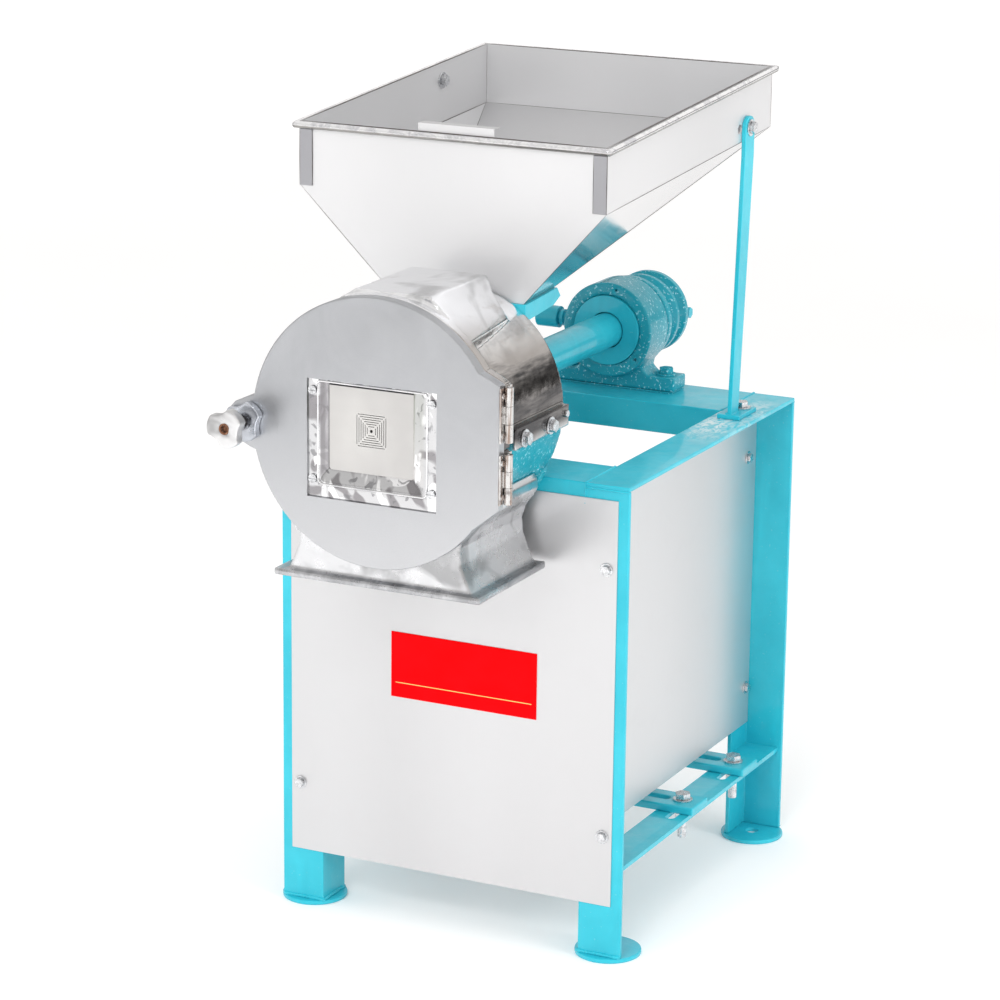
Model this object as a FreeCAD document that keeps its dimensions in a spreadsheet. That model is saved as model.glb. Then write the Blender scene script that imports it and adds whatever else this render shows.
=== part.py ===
import FreeCAD, Part
import math
import os
import re

import Sketcher

V = FreeCAD.Vector
doc = FreeCAD.newDocument("hammer_mill")
sheet = doc.addObject("Spreadsheet::Sheet", "Sizes")

# Driving sizes in mm. Positions along Y are given from the front face of the frame.
SIZES = {
    "frame_width": 410, "frame_depth": 456, "frame_height": 523,
    "leg_width": 50, "steel_thick": 5, "foot_radius": 36, "foot_inset": 25.7, "anchor_radius": 7,
    "front_rail_depth": 75, "front_rail_drop": 38, "rear_rail_depth": 98, "rear_rail_drop": 35,
    "panel_width": 386, "panel_bottom": 62.5, "panel_top": 507.5, "sheet_thick": 1.5,
    "side_panel_bottom": 130, "label_width": 173, "label_height": 73,
    "low_rail_top": 104, "low_rail_width": 40, "plate_length": 80, "plate_width": 44, "plate_thick": 9,
    "shaft_height": 593, "shaft_radius": 20, "split_height": 590,
    "door_radius": 140, "door_thick": 12, "door_front": -174, "ring_front": -162, "drum_front": -148,
    "drum_radius": 120, "drum_bore": 112, "drum_rear": 19, "wall_thick": 8,
    "housing_radius": 54.5, "bearing_radius": 40, "base_half": 78, "base_bottom": 525, "base_top": 541,
    "hinge_across": 145.5, "hinge_along": -163, "knuckle_radius": 4.5, "pin_radius": 2,
    "knob_across": -146, "knob_height": 591, "stud_radius": 5,
    "pin_circle": 50, "disc_radius": 60, "hammer_pin_radius": 5,
    "hopper_left": -194, "hopper_right": 162, "hopper_front": 23, "hopper_long": 440,
    "rim_height": 867, "band_height": 68, "outlet_height": 697, "hopper_tilt": 3.9,
    "outlet_left": -87, "outlet_right": 70, "outlet_long": 73, "rim_radius": 3.5,
    "spout_bottom": 430, "spout_flange_top": 437, "clip_space": 4, "vent_slit": 0.6,
    "screen_hole_radius": 3, "screen_hole_start": 100, "screen_hole_reach": 20,
    "low_slot_reach": 34, "slot_radius": 5.5, "cover_gap": 1.0, "bolt_across": 183,
    "hammer_length": 60, "hammer_thick": 8, "hammer_width": 25, "ball_radius": 6,
}

cells = {}
WORD = re.compile(r"[a-z][a-z0-9_]+")


def cell(name, value):
    """Adds one named number to the sheet."""
    row = len(cells) + 1
    cells[name] = value
    sheet.set(f"A{row}", name)
    sheet.set(f"B{row}", str(value))
    sheet.setAlias(f"B{row}", name)


def link(value):
    """Turns 'a + b' into an expression over the sheet's aliases."""
    return WORD.sub(lambda found: "Sizes." + found.group(0), value)


def bind(item, prop, value):
    """Ties a property to the sheet; a plain number gets a cell of its own first."""
    if not isinstance(value, str):
        alias = f"{item.Name}_{prop.replace('Placement.Base.', 'at_')}".lower()
        cell(alias, value)
        value = alias
    item.setExpression(prop, link(value))


def fy(value):
    """A position along Y, measured from the front face of the frame."""
    return f"{value} - frame_depth / 2"


def put(item, at, turn=None):
    """Places an item; each coordinate is a number or an expression over the sheet."""
    base = [value if not isinstance(value, str) else 0 for value in at]
    item.Placement = FreeCAD.Placement(V(*base), turn or FreeCAD.Rotation())
    for axis, value in zip("xyz", at):
        bind(item, "Placement.Base." + axis, value)
    return item


TURNS = {
    "z": FreeCAD.Rotation(),
    "y": FreeCAD.Rotation(V(1, 0, 0), -90),
    "x": FreeCAD.Rotation(V(0, 1, 0), 90),
}
PLANES = {
    "xy": FreeCAD.Rotation(),
    "xz": FreeCAD.Rotation(V(1, 0, 0), 90),
    "yz": FreeCAD.Rotation(V(1, 1, 1), 120),
}
NORMALS = {"xy": V(0, 0, 1), "xz": V(0, 1, 0), "yz": V(1, 0, 0)}


def box(name, size, at):
    item = doc.addObject("Part::Box", name)
    for prop, value in zip(("Length", "Width", "Height"), size):
        bind(item, prop, value)
    return put(item, at)


def span(name, xs, ys, zs):
    """A box from its limits; Y is measured from the front face."""
    size = [high - low for low, high in (xs, ys, zs)]
    return box(name, size, (xs[0], fy(ys[0]), zs[0]))


def rod(name, radius, length, at, way="y"):
    item = doc.addObject("Part::Cylinder", name)
    bind(item, "Radius", radius)
    bind(item, "Height", length)
    return put(item, at, TURNS[way])


def hexagon(name, radius, length, at, way="y"):
    item = doc.addObject("Part::Prism", name)
    item.Polygon = 6
    bind(item, "Circumradius", radius)
    bind(item, "Height", length)
    return put(item, at, TURNS[way])


def cut(name, base, *tools):
    tool = tools[0] if len(tools) == 1 else group(name + "_tools", *tools)
    item = doc.addObject("Part::Cut", name)
    item.Base = base
    item.Tool = tool
    item.Refine = True
    return item


def fuse(name, *shapes):
    item = doc.addObject("Part::MultiFuse", name)
    item.Shapes = list(shapes)
    item.Refine = True
    return item


def common(name, *shapes):
    item = doc.addObject("Part::MultiCommon", name)
    item.Shapes = list(shapes)
    return item


def group(name, *shapes):
    item = doc.addObject("Part::Compound", name)
    item.Links = list(shapes)
    return item


def draw(sketch, name, points):
    """Draws a closed outline, with every corner held by two distances from the sheet."""
    count = len(points)
    start = [V(*(0 if isinstance(value, str) else value for value in point), 0) for point in points]
    for index, point in enumerate(points):
        if any(isinstance(value, str) for value in point):
            start[index] = V(10.0 * math.cos(6.28 * index / count), 10.0 * math.sin(6.28 * index / count), 0)
    for index in range(count):
        sketch.addGeometry(Part.LineSegment(start[index], start[(index + 1) % count]), False)
    for index in range(count):
        sketch.addConstraint(Sketcher.Constraint("Coincident", index, 2, (index + 1) % count, 1))
    for index, point in enumerate(points):
        for kind, letter, value in zip(("DistanceX", "DistanceY"), "uv", point):
            begun = start[index].x if letter == "u" else start[index].y
            number = sketch.addConstraint(Sketcher.Constraint(kind, -1, 1, index, 1, begun))
            if not isinstance(value, str):
                alias = f"{name}_{letter}{index + 1}"
                cell(alias, value)
                value = alias
            sketch.setExpression(f"Constraints[{number}]", link(value))


def outline(name, plane, points, at, turn=None):
    sketch = doc.addObject("Sketcher::SketchObject", name)
    draw(sketch, name, points)
    return put(sketch, at, turn or PLANES[plane])


def prism(name, plane, points, at, length):
    """An outline drawn square to one axis and pushed along it."""
    sketch = outline(name + "_outline", plane, points, at)
    item = doc.addObject("Part::Extrusion", name)
    item.Base = sketch
    item.DirMode = "Custom"
    item.Dir = NORMALS[plane]
    item.Solid = True
    bind(item, "LengthFwd", length)
    return item


def loft(name, *sketches):
    item = doc.addObject("Part::Loft", name)
    item.Sections = list(sketches)
    item.Solid = True
    item.Ruled = True
    return item


ROLES = {"xy": "XY_Plane", "xz": "XZ_Plane", "yz": "YZ_Plane"}


def pad(name, plane, points, at, length, reverse=False):
    """A PartDesign body with one padded outline."""
    body = doc.addObject("PartDesign::Body", name)
    sketch = body.newObject("Sketcher::SketchObject", name + "_sketch")
    base = next(item for item in body.Origin.OriginFeatures if item.Role == ROLES[plane])
    sketch.AttachmentSupport = [(base, "")]
    sketch.MapMode = "FlatFace"
    draw(sketch, name, points)
    feature = body.newObject("PartDesign::Pad", name + "_pad")
    feature.Profile = sketch
    feature.Reversed = reverse
    bind(feature, "Length", length)
    body.Tip = feature
    put(body, at)
    return body


def rounded(name, base, radius, test):
    """Rounds the edges whose middle point passes the test."""
    doc.recompute()
    found = []
    for number, edge in enumerate(base.Shape.Edges, 1):
        if test(edge):
            found.append((number, radius, radius))
    item = doc.addObject("Part::Fillet", name)
    item.Base = base
    item.Edges = found
    return item


def label(item, name):
    item.Label = name
    nodes.append((name, item))
    return item


def bolt(name, radius, head, washer, at, way):
    """A hexagon head on a washer; the head stands off along its axis."""
    sign = -1 if way.startswith("-") else 1
    axis = "xyz".index(way[-1])
    plate = list(at)
    top = list(at)
    move = washer if sign > 0 else -washer - head
    back = 0 if sign > 0 else -washer
    top[axis] = shifted(top[axis], move)
    plate[axis] = shifted(plate[axis], back)
    return group(
        name,
        rod(name + "_washer", radius * 1.35, washer, plate, way[-1]),
        hexagon(name + "_head", radius, head, top, way[-1]),
    )


def shifted(value, move):
    return f"{value} + {move}" if isinstance(value, str) else value + move


nodes = []
for alias, number in SIZES.items():
    cell(alias, number)

BIG = 400.0
RIGHT, LEFT = 1, -1
SIDES = (("right", RIGHT), ("left", LEFT))
RAIL_IN = "frame_width / 2 - leg_width"

# Frame: four angle legs on foot discs, with rails above and below.
for end, far in (("front", 1), ("rear", -1)):
    for side, sign in SIDES:
        arm_x = f"{sign} * leg_width"
        arm_y = f"{far} * leg_width"
        thick_x = f"{sign} * steel_thick"
        thick_y = f"{far} * steel_thick"
        corner = [(0, 0), (arm_x, 0), (arm_x, thick_y), (thick_x, thick_y), (thick_x, arm_y), (0, arm_y)]
        place = (f"{sign} * ({RAIL_IN})", f"{-far} * frame_depth / 2", "steel_thick")
        body = pad(f"leg_{end}_{side}", "xy", corner, place, "frame_height - 2 * steel_thick")
        label(body, f"leg_{end}_{side}")

discs = []
for index, (sx, sy) in enumerate(((1, 1), (1, -1), (-1, 1), (-1, -1))):
    place = (f"{sx} * (frame_width / 2 - foot_inset)", f"{sy} * (frame_depth / 2 - foot_inset)", 0)
    disc = rod(f"foot_disc_{index}", "foot_radius", "steel_thick", place, "z")
    hole = rod(f"foot_hole_{index}", "anchor_radius", "steel_thick", place, "z")
    discs.append(cut(f"foot_plate_{index}", disc, hole))
label(group("foot_discs", *discs), "foot_discs")


def channel(name, start, deep, drop):
    top, low = "frame_height", f"frame_height - {drop}"
    under = "frame_height - steel_thick"
    rear = f"{start} + {deep}"
    points = [
        (start, low), (start, top), (rear, top), (rear, low), (f"{rear} - steel_thick", low),
        (f"{rear} - steel_thick", under), (f"{start} + steel_thick", under), (f"{start} + steel_thick", low),
    ]
    body = pad(name, "yz", points, (f"-({RAIL_IN})", "-frame_depth / 2", 0), f"2 * ({RAIL_IN})")
    return label(body, name)


channel("front_rail", "0 * frame_depth", "front_rail_depth", "front_rail_drop")
channel("rear_rail", "frame_depth - rear_rail_depth", "rear_rail_depth", "rear_rail_drop")

for side, sign in SIDES:
    inner = f"{sign} * (frame_width / 2 - leg_width / 2) - leg_width / 2"
    top = box(f"side_rail_top_{side}", ("leg_width", "frame_depth", "steel_thick"),
              (inner, "-frame_depth / 2", "frame_height - steel_thick"))
    web_at = f"{sign} * ({RAIL_IN} + steel_thick / 2) - steel_thick / 2"
    web = box(f"side_rail_web_{side}",
              ("steel_thick", "frame_depth - 2 * leg_width", "leg_width - steel_thick"),
              (web_at, "leg_width - frame_depth / 2", "frame_height - leg_width"))
    label(fuse(f"side_rail_{side}", top, web), f"side_rail_{side}")

SLOT_Y = {"front": 212.0, "rear": 357.0}
for side, sign in SIDES:
    edge = f"{sign} * ({RAIL_IN} + steel_thick + low_rail_width / 2) - low_rail_width / 2"
    bar = box(f"low_bar_{side}", ("low_rail_width", "frame_depth - 2 * steel_thick", "steel_thick"),
              (edge, "steel_thick - frame_depth / 2", "low_rail_top - steel_thick"))
    holes = []
    for end, middle in SLOT_Y.items():
        holes.append(box(f"low_slot_{side}_{end}", ("2 * slot_radius", "2 * low_slot_reach", 20),
                         (f"{sign} * bolt_across - slot_radius", fy(f"{middle} - low_slot_reach"), 90)))
        for number, reach in enumerate(("- low_slot_reach", "+ low_slot_reach")):
            holes.append(rod(f"low_end_{side}_{end}_{number}", "slot_radius", 20,
                             (f"{sign} * bolt_across", fy(f"{middle} {reach}"), 90), "z"))
    slots = fuse(f"low_slots_{side}", *holes)
    label(cut(f"lower_rail_{side}", bar, slots), f"lower_rail_{side}")

    plates = []
    for end, middle in SLOT_Y.items():
        plate = box(f"plate_{side}_{end}", ("plate_length", "plate_width", "plate_thick"),
                    (f"{sign} * 164 - plate_length / 2", fy(f"{middle} - plate_width / 2"), "low_rail_top"))
        low, high = sorted((sign * 138, sign * 162))
        slot = fuse(
            f"plate_slot_{side}_{end}",
            span(f"plate_slot_box_{side}_{end}", (low, high), (middle - 5.5, middle + 5.5), (100, 120)),
            rod(f"plate_slot_in_{side}_{end}", 5.5, 20, (low, fy(middle), 100), "z"),
            rod(f"plate_slot_out_{side}_{end}", 5.5, 20, (high, fy(middle), 100), "z"),
        )
        hole = rod(f"plate_hole_{side}_{end}", "slot_radius", 20,
                   (f"{sign} * bolt_across", fy(middle), 100), "z")
        shaped = cut(f"plate_cut_{side}_{end}", plate, slot, hole)
        plates.append(shaped)
    label(group(f"motor_plates_{side}", *plates), f"motor_plates_{side}")

bolts = []
for side, sign in SIDES:
    for end, middle in SLOT_Y.items():
        spot = (f"{sign} * bolt_across", fy(middle))
        tag = f"{side}_{end}"
        bolts.append(rod(f"rail_bolt_shank_{tag}", 4.9, "plate_thick + 34",
                         (*spot, "low_rail_top - 34"), "z"))
        disc = rod(f"rail_bolt_washer_{tag}", 11, 2, (*spot, "low_rail_top + plate_thick"), "z")
        head = hexagon(f"rail_bolt_head_{tag}", 9, 6.5, (*spot, "low_rail_top + plate_thick + 2"), "z")
        bolts += [disc, head]
        nut = hexagon(f"rail_bolt_nut_{tag}", 9, 8, (*spot, "low_rail_top - steel_thick - 8"), "z")
        bore = rod(f"rail_bolt_bore_{tag}", 4.9, 8, (*spot, "low_rail_top - steel_thick - 8"), "z")
        bolts.append(cut(f"rail_bolt_ring_{tag}", nut, bore))
label(group("motor_plate_bolts", *bolts), "motor_plate_bolts")

# Cladding.
corners = [("-panel_width / 2", "panel_bottom"), ("panel_width / 2", "panel_bottom"),
           ("panel_width / 2", "panel_top"), ("-panel_width / 2", "panel_top")]
body = pad("front_panel", "xz", corners, (0, "-frame_depth / 2 - sheet_thick", 0), "sheet_thick", True)
label(body, "front_panel")
for side, sign in SIDES:
    face = f"{sign} * ({RAIL_IN} + steel_thick + sheet_thick / 2) - sheet_thick / 2"
    rise = "frame_height - steel_thick - 1 - side_panel_bottom"
    panel = box(f"side_panel_{side}", ("sheet_thick", "frame_depth - 2 * steel_thick", rise),
                (face, "steel_thick - frame_depth / 2", "side_panel_bottom"))
    label(panel, f"side_panel_{side}")
heads = []
for index, (across, height) in enumerate(((-181, 433), (181, 433), (-182, 140), (182, 140))):
    heads.append(bolt(f"panel_bolt_{index}", 5.5, 3.5, 1.2, (across, fy(-1.5), height), "-y"))
for side, sign in SIDES:
    for index, (along, height) in enumerate(((427, 454), (440, 175), (29, 454), (29, 175))):
        way = "x" if sign > 0 else "-x"
        heads.append(bolt(f"side_bolt_{side}_{index}", 5.5, 3.5, 1.2, (sign * 161.5, fy(along), height), way))
label(group("panel_bolts", *heads), "panel_bolts")
plate = box("label_plate", ("label_width", 0.8, "label_height"),
            ("16.7 - label_width / 2", "-frame_depth / 2 - sheet_thick - 0.8", "293.8 - label_height / 2"))
label(plate, "label_plate")

# Casing: a drum in two halves round the rotor, with a front ring that the door closes.
AXIS = "shaft_height"
TAB = [(60, 505.5), (108, 505.5), (140, 531.5), (140, 658.6), (117, 669.5), (60, 669.5)]
EAR = [(-120, 556), (-143, 563), (-160, 571), (-168, 582), (-168, 600), (-160, 609), (-143, 617), (-120, 622)]


def drum(name, radius, start, length):
    return rod(name, radius, length, (0, fy(start), AXIS))


def plate_shape(name, start, length):
    return fuse(
        name,
        drum(name + "_disc", "door_radius", start, length),
        prism(name + "_tab", "xz", TAB, (0, fy(start), 0), length),
        prism(name + "_ear", "xz", EAR, (0, fy(start), 0), length),
    )


def above(name):
    return box(name, (2 * BIG, 2 * BIG, BIG), (-BIG, -BIG, "split_height"))


def below(name):
    return box(name, (2 * BIG, 2 * BIG, BIG), (-BIG, -BIG, f"split_height - {BIG}"))


BOSS_FRONT = [(-62, 717), (-35, 734), (48, 734), (62, 722), (96, 693), (80, 660), (-60, 660)]
BOSS_REAR = [(-58, 698), (-38, 734), (49, 734), (56, 716), (74, 690), (70, 660), (-55, 660)]
boss = loft(
    "boss",
    outline("boss_front", "xz", BOSS_FRONT, (0, fy("drum_front"), 0)),
    outline("boss_rear", "xz", BOSS_REAR, (0, fy(-20), 0)),
)
shelves = []
for side, sign in SIDES:
    low, high = sorted((sign * 113, sign * 128))
    shelves.append(span(f"lap_shelf_{side}", (low, high), (-111, 15), (590, 600)))
    low, high = sorted((sign * 120, sign * 128))
    shelves.append(span(f"lap_skirt_{side}", (low, high), (-111, 15), (577.5, 590)))
drum_length = "drum_rear - drum_front"
upper_blank = fuse("upper_blank", plate_shape("upper_ring", "ring_front", 14),
                   drum("upper_drum", "drum_radius", "drum_front", drum_length), boss)
upper_half = common("upper_half", upper_blank, above("upper_side"))
upper_all = fuse("upper_all", upper_half, *shelves)
stud_pocket = rod("stud_pocket", "stud_radius + 1.2", 14, ("knob_across", fy("ring_front"), "knob_height"))
upper = cut(
    "upper_casing", upper_all,
    drum("upper_bore", "drum_bore", "ring_front", "drum_rear - wall_thick - ring_front"),
    drum("upper_shaft_hole", 25, 0, 30),
    span("feed_window", (-54, 32), (5, 25), (647, 684)),
    stud_pocket,
)
label(upper, "upper_casing")

low_outer = cut("low_outer", drum("low_drum", "drum_radius", "drum_front", drum_length),
                span("low_notch", (-BIG, BIG), (-2, 60), (400, 523)))
low_half = common("low_half", low_outer, below("low_side"))
lug = common("low_lug", drum("low_lug_disc", 129, -14, 12),
             span("low_lug_band", (-200, 200), (-20, 10), (498, 534)))
pad_lug = common("low_pad", drum("low_pad_disc", 129, -2, 2),
                 span("low_pad_band", (-200, 200), (-20, 10), (508.5, 523)))
low_all = fuse("low_all", low_half, lug, pad_lug)
low_bore = cut("low_bore",
               drum("low_bore_all", "drum_bore", "drum_front", "drum_rear - wall_thick - drum_front"),
               span("low_step", (-BIG, BIG), (-10, 60), (400, 531)))
lower = cut(
    "lower_casing", low_all, low_bore, drum("low_shaft_hole", 25, 0, 30),
    span("low_outlet", (-84, 84), (-138, -32), (440, 520)),
)
label(lower, "lower_casing")

WALL = [(105, 437), (98, 452), (92.5, 466), (91, 482), (96, 497), (104, 507), (109, 516), (108, 525),
        (103, 532)]
BORE = [(99, 425), (92, 452), (86.5, 466), (85, 482), (88, 497), (96, 513)]


def both_sides(points):
    return points + [(-across, height) for across, height in reversed(points)]


spout_walls = cut(
    "spout_walls", prism("spout_blank", "xz", both_sides(WALL), (0, fy("ring_front"), 0), 146),
    prism("spout_cavity", "xz", both_sides(BORE), (0, fy(-154), 0), 132),
    drum("spout_drum_cut", "drum_radius", "drum_front", 180),
    drum("spout_ring_cut", "drum_bore", "ring_front", 20),
)
flange = cut("spout_flange",
             box("spout_flange_plate", (236, 155, "spout_flange_top - spout_bottom"),
                 (-118, fy(-170), "spout_bottom")),
             span("spout_mouth", (-99, 99), (-154, -22), (420, 445)))
low_ring_half = common("low_ring_half", plate_shape("low_ring_plate", "ring_front", 14),
                       below("low_ring_side"))
low_ring = cut("low_ring", low_ring_half,
               drum("low_ring_bore", "drum_bore", "ring_front", 20),
               rod("stud_pocket_low", "stud_radius + 1.2", 14,
                   ("knob_across", fy("ring_front"), "knob_height")))
label(fuse("spout", spout_walls, flange, low_ring), "spout")

tabs = []
for side, sign in SIDES:
    way = "x" if sign > 0 else "-x"
    for index, along in enumerate((-90, -30)):
        tabs.append(bolt(f"lap_bolt_{side}_{index}", 7, 5, 1.6, (sign * 128, fy(along), 586.5), way))
    start = 128 if sign > 0 else -131
    tabs.append(rod(f"lap_screw_{side}", 3.6, 3, (start, fy(6), 591.5), "x"))
label(group("casing_bolts", *tabs), "casing_bolts")

holes = []
for row, along in enumerate((-126, -110, -94, -78, -62, -46)):
    for step in range(9):
        angle = 58 + 8 * step
        hole = doc.addObject("Part::Cylinder", f"screen_hole_{row}_{step}")
        bind(hole, "Radius", "screen_hole_radius")
        bind(hole, "Height", "screen_hole_reach")
        lean = math.radians(angle + 90)
        put(hole, (f"screen_hole_start * {math.sin(lean):.9f}", fy(along),
                   f"shaft_height + screen_hole_start * {math.cos(lean):.9f}"),
            FreeCAD.Rotation(V(0, 1, 0), angle + 90))
        holes.append(hole)
screen_half = common("screen_half", cut("screen_tube", drum("screen_outer", "drum_bore", -146, 134),
                                        drum("screen_inner", "drum_bore - 2", -146, 134)),
                     box("screen_side", (2 * BIG, 2 * BIG, BIG), (-BIG, -BIG, f"split_height - 5 - {BIG}")))
label(cut("screen", screen_half, *holes), "screen")

# Door, window and vent.
door_blank = plate_shape("door_blank", "door_front", "door_thick")
stud_hole = rod("door_stud_hole", "stud_radius + 0.06", 12, ("knob_across", fy("door_front"), "knob_height"))
clip_seat = rod("door_clip_seat", 8.5, "clip_space",
                ("knob_across", fy("ring_front - clip_space"), "knob_height"))
door_window = span("door_window", (-76, 71), (-180, -155), (520, 643))
door = cut("door_cut", door_blank, door_window, stud_hole, clip_seat)


def on_door_face(edge):
    box_of = edge.BoundBox
    flat = abs(box_of.YMin + 402) < 0.01 and abs(box_of.YMax + 402) < 0.01
    inside = box_of.XMin > -77 and box_of.XMax < 72 and box_of.ZMin > 519 and box_of.ZMax < 644
    stud = box_of.XMin > -152 and box_of.XMax < -140 and box_of.ZMin > 585 and box_of.ZMax < 597
    return flat and not inside and not stud


label(rounded("door", door, 1.5, on_door_face), "door")

rect_front = [(-63.5, 535), (59, 535), (59, 641.5), (-63.5, 641.5)]
rect_rear = [(-54.5, 548.5), (42.7, 548.5), (42.7, 639.5), (-54.5, 639.5)]


def grown(points, by):
    (left, low), _, (right, high), _ = points
    return [(left - by, low - by), (right + by, low - by), (right + by, high + by), (left - by, high + by)]


frame_flat = cut("window_flat", span("window_plate", (-76, 71), (-172.5, -171), (520, 643)),
                 span("window_hole", (-63.5, 59), (-173, -170), (535, 641.5)))
slope_out = loft("window_slope", outline("window_slope_a", "xz", grown(rect_front, 1.5), (0, fy(-172.5), 0)),
                 outline("window_slope_b", "xz", grown(rect_rear, 1.5), (0, fy(-167), 0)))
slope_in = loft("window_inner", outline("window_inner_a", "xz", rect_front, (0, fy(-172.5), 0)),
                outline("window_inner_b", "xz", rect_rear, (0, fy(-167), 0)))
label(cut("window_frame", fuse("window_solid", frame_flat, slope_out), slope_in), "window_frame")

VENT_X, VENT_Z = -5.9, 594.0
bars = []
for ring in range(2, 8):
    half = 2.35 * ring
    reach = 2 * half - 2.4
    for sign in (-1, 1):
        offset = f"{sign * half} - vent_slit / 2"
        bars.append(box(f"vent_across_{ring}_{sign + 1}", (reach, 6, "vent_slit"),
                        (VENT_X - reach / 2, fy(-170), f"{VENT_Z} + {offset}")))
        bars.append(box(f"vent_up_{ring}_{sign + 1}", ("vent_slit", 6, reach),
                        (f"{VENT_X} + {offset}", fy(-170), VENT_Z - reach / 2)))
bars.append(rod("vent_eye", 1.6, 6, (VENT_X, fy(-170), VENT_Z)))
vent_blank = prism("vent_blank", "xz", rect_rear, (0, fy(-167), 0), 1.5)
label(cut("vent_plate", vent_blank, *bars), "vent_plate")
screws = []
for index, (across, height) in enumerate(((-70, 631), (65, 631), (-70, 539), (65, 539))):
    head = rod(f"window_screw_{index}", 4.6, 2, (across, fy(-174.5), height))
    groove = span(f"window_groove_{index}", (across - 6, across + 6), (-175, -173.6),
                  (height - 0.6, height + 0.6))
    screws.append(cut(f"window_head_{index}", head, groove))
label(group("window_screws", *screws), "window_screws")

# Hinges: knuckles of casing and door in turn on a fixed pin.
HINGES = ((600.0, 656.0), (537.0, 588.0))
casing_half, door_half, pins, hinge_screws = [], [], [], []
for index, (low, high) in enumerate(HINGES):
    third = (high - low) / 3
    pin = rod(f"hinge_pin_{index}", "pin_radius", high - low + 2,
              ("hinge_across", fy("hinge_along"), low - 1), "z")
    pins.append(pin)
    leaf = [span(f"casing_leaf_{index}", (140, 142), (-159.2, -148.5), (low, high))]
    for part, start in enumerate((low, high - third)):
        knuckle = rod(f"casing_knuckle_{index}_{part}", "knuckle_radius", third,
                      ("hinge_across", fy("hinge_along"), start), "z")
        leaf.append(knuckle)
        leaf.append(span(f"casing_tongue_{index}_{part}", (140, 143), (-161.8, -159), (start, start + third)))
    solid = fuse(f"casing_hinge_{index}", *leaf)
    hole = rod(f"casing_hinge_bore_{index}", "pin_radius", high - low + 2,
               ("hinge_across", fy("hinge_along"), low - 1), "z")
    casing_half.append(cut(f"casing_hinge_cut_{index}", solid, hole))
    knuckle = rod(f"door_knuckle_{index}", "knuckle_radius", third - 0.6,
                  ("hinge_across", fy("hinge_along"), low + third + 0.3), "z")
    tongue = span(f"door_tongue_{index}", (140, 143), (-167.2, -164.2),
                  (low + third + 0.3, high - third - 0.3))
    flap = span(f"door_leaf_{index}", (140, 142), (-173.5, -166.8), (low, high))
    solid = fuse(f"door_hinge_{index}", knuckle, tongue, flap)
    hole = rod(f"door_hinge_bore_{index}", "pin_radius + 0.06", high - low,
               ("hinge_across", fy("hinge_along"), low), "z")
    door_half.append(cut(f"door_hinge_cut_{index}", solid, hole))
    for part, height in enumerate((low + 8, high - 8)):
        door_half.append(rod(f"door_leaf_screw_{index}_{part}", 3.0, 1.5, (142, fy(-170.2), height), "x"))
        hinge_screws.append(rod(f"hinge_screw_{index}_{part}", 3.6, 1.6, (142, fy(-153.8), height), "x"))
label(group("casing_hinges", *casing_half, *pins, *hinge_screws), "casing_hinges")
label(group("door_hinge_leaves", *door_half), "door_hinge_leaves")

# Hand knob, captive in the door's ear.
KNOB = ("knob_across", "knob_height")


def star(name, front, thick, tip, waist):
    """A hand knob with three broad lobes and hollow sides."""
    scoop = 22.0
    disc = rod(name + "_disc", tip, thick, (KNOB[0], fy(front), KNOB[1]))
    hollows = []
    for index, turn in enumerate((110, 230, 350)):
        angle = math.radians(turn)
        away = waist + scoop
        hollows.append(rod(f"{name}_hollow_{index}", scoop, thick,
                           (f"knob_across + {away * math.cos(angle):.6f}", fy(front),
                            f"knob_height + {away * math.sin(angle):.6f}")))
    return cut(name + "_lobes", disc, *hollows)


def flat_edge(edge):
    return abs(edge.BoundBox.YMax - edge.BoundBox.YMin) < 0.01


knob = rounded("knob_round", star("knob", -221, 13, 20.5, 12.5), 2.0, flat_edge)
hub = rod("knob_neck", 8.5, 17, (KNOB[0], fy(-209), KNOB[1]))
bore = rod("knob_bore", "stud_radius", 40, (KNOB[0], fy(-225), KNOB[1]))
label(cut("star_knob", fuse("knob_all", knob, hub), bore), "star_knob")
nut = rounded("lock_round", star("lock", -184, 9.5, 21, 13), 1.5, flat_edge)
label(cut("lock_star", nut, rod("lock_bore", "stud_radius", 30, (KNOB[0], fy(-200), KNOB[1]))), "lock_star")
stud = rod("knob_rod", "stud_radius", 67, (KNOB[0], fy(-217), KNOB[1]))
clip = rod("knob_clip", 7.5, 2, (KNOB[0], fy(-165.4), KNOB[1]))
label(fuse("knob_stud", stud, clip), "knob_stud")

# Shaft, bearings and pulley.
shaft = rounded("shaft_round", rod("shaft_bar", "shaft_radius", 660, (0, fy(-126), AXIS)), 1.5,
                lambda edge: abs(edge.BoundBox.YMax - edge.BoundBox.YMin) < 0.01)
label(shaft, "shaft")

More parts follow.
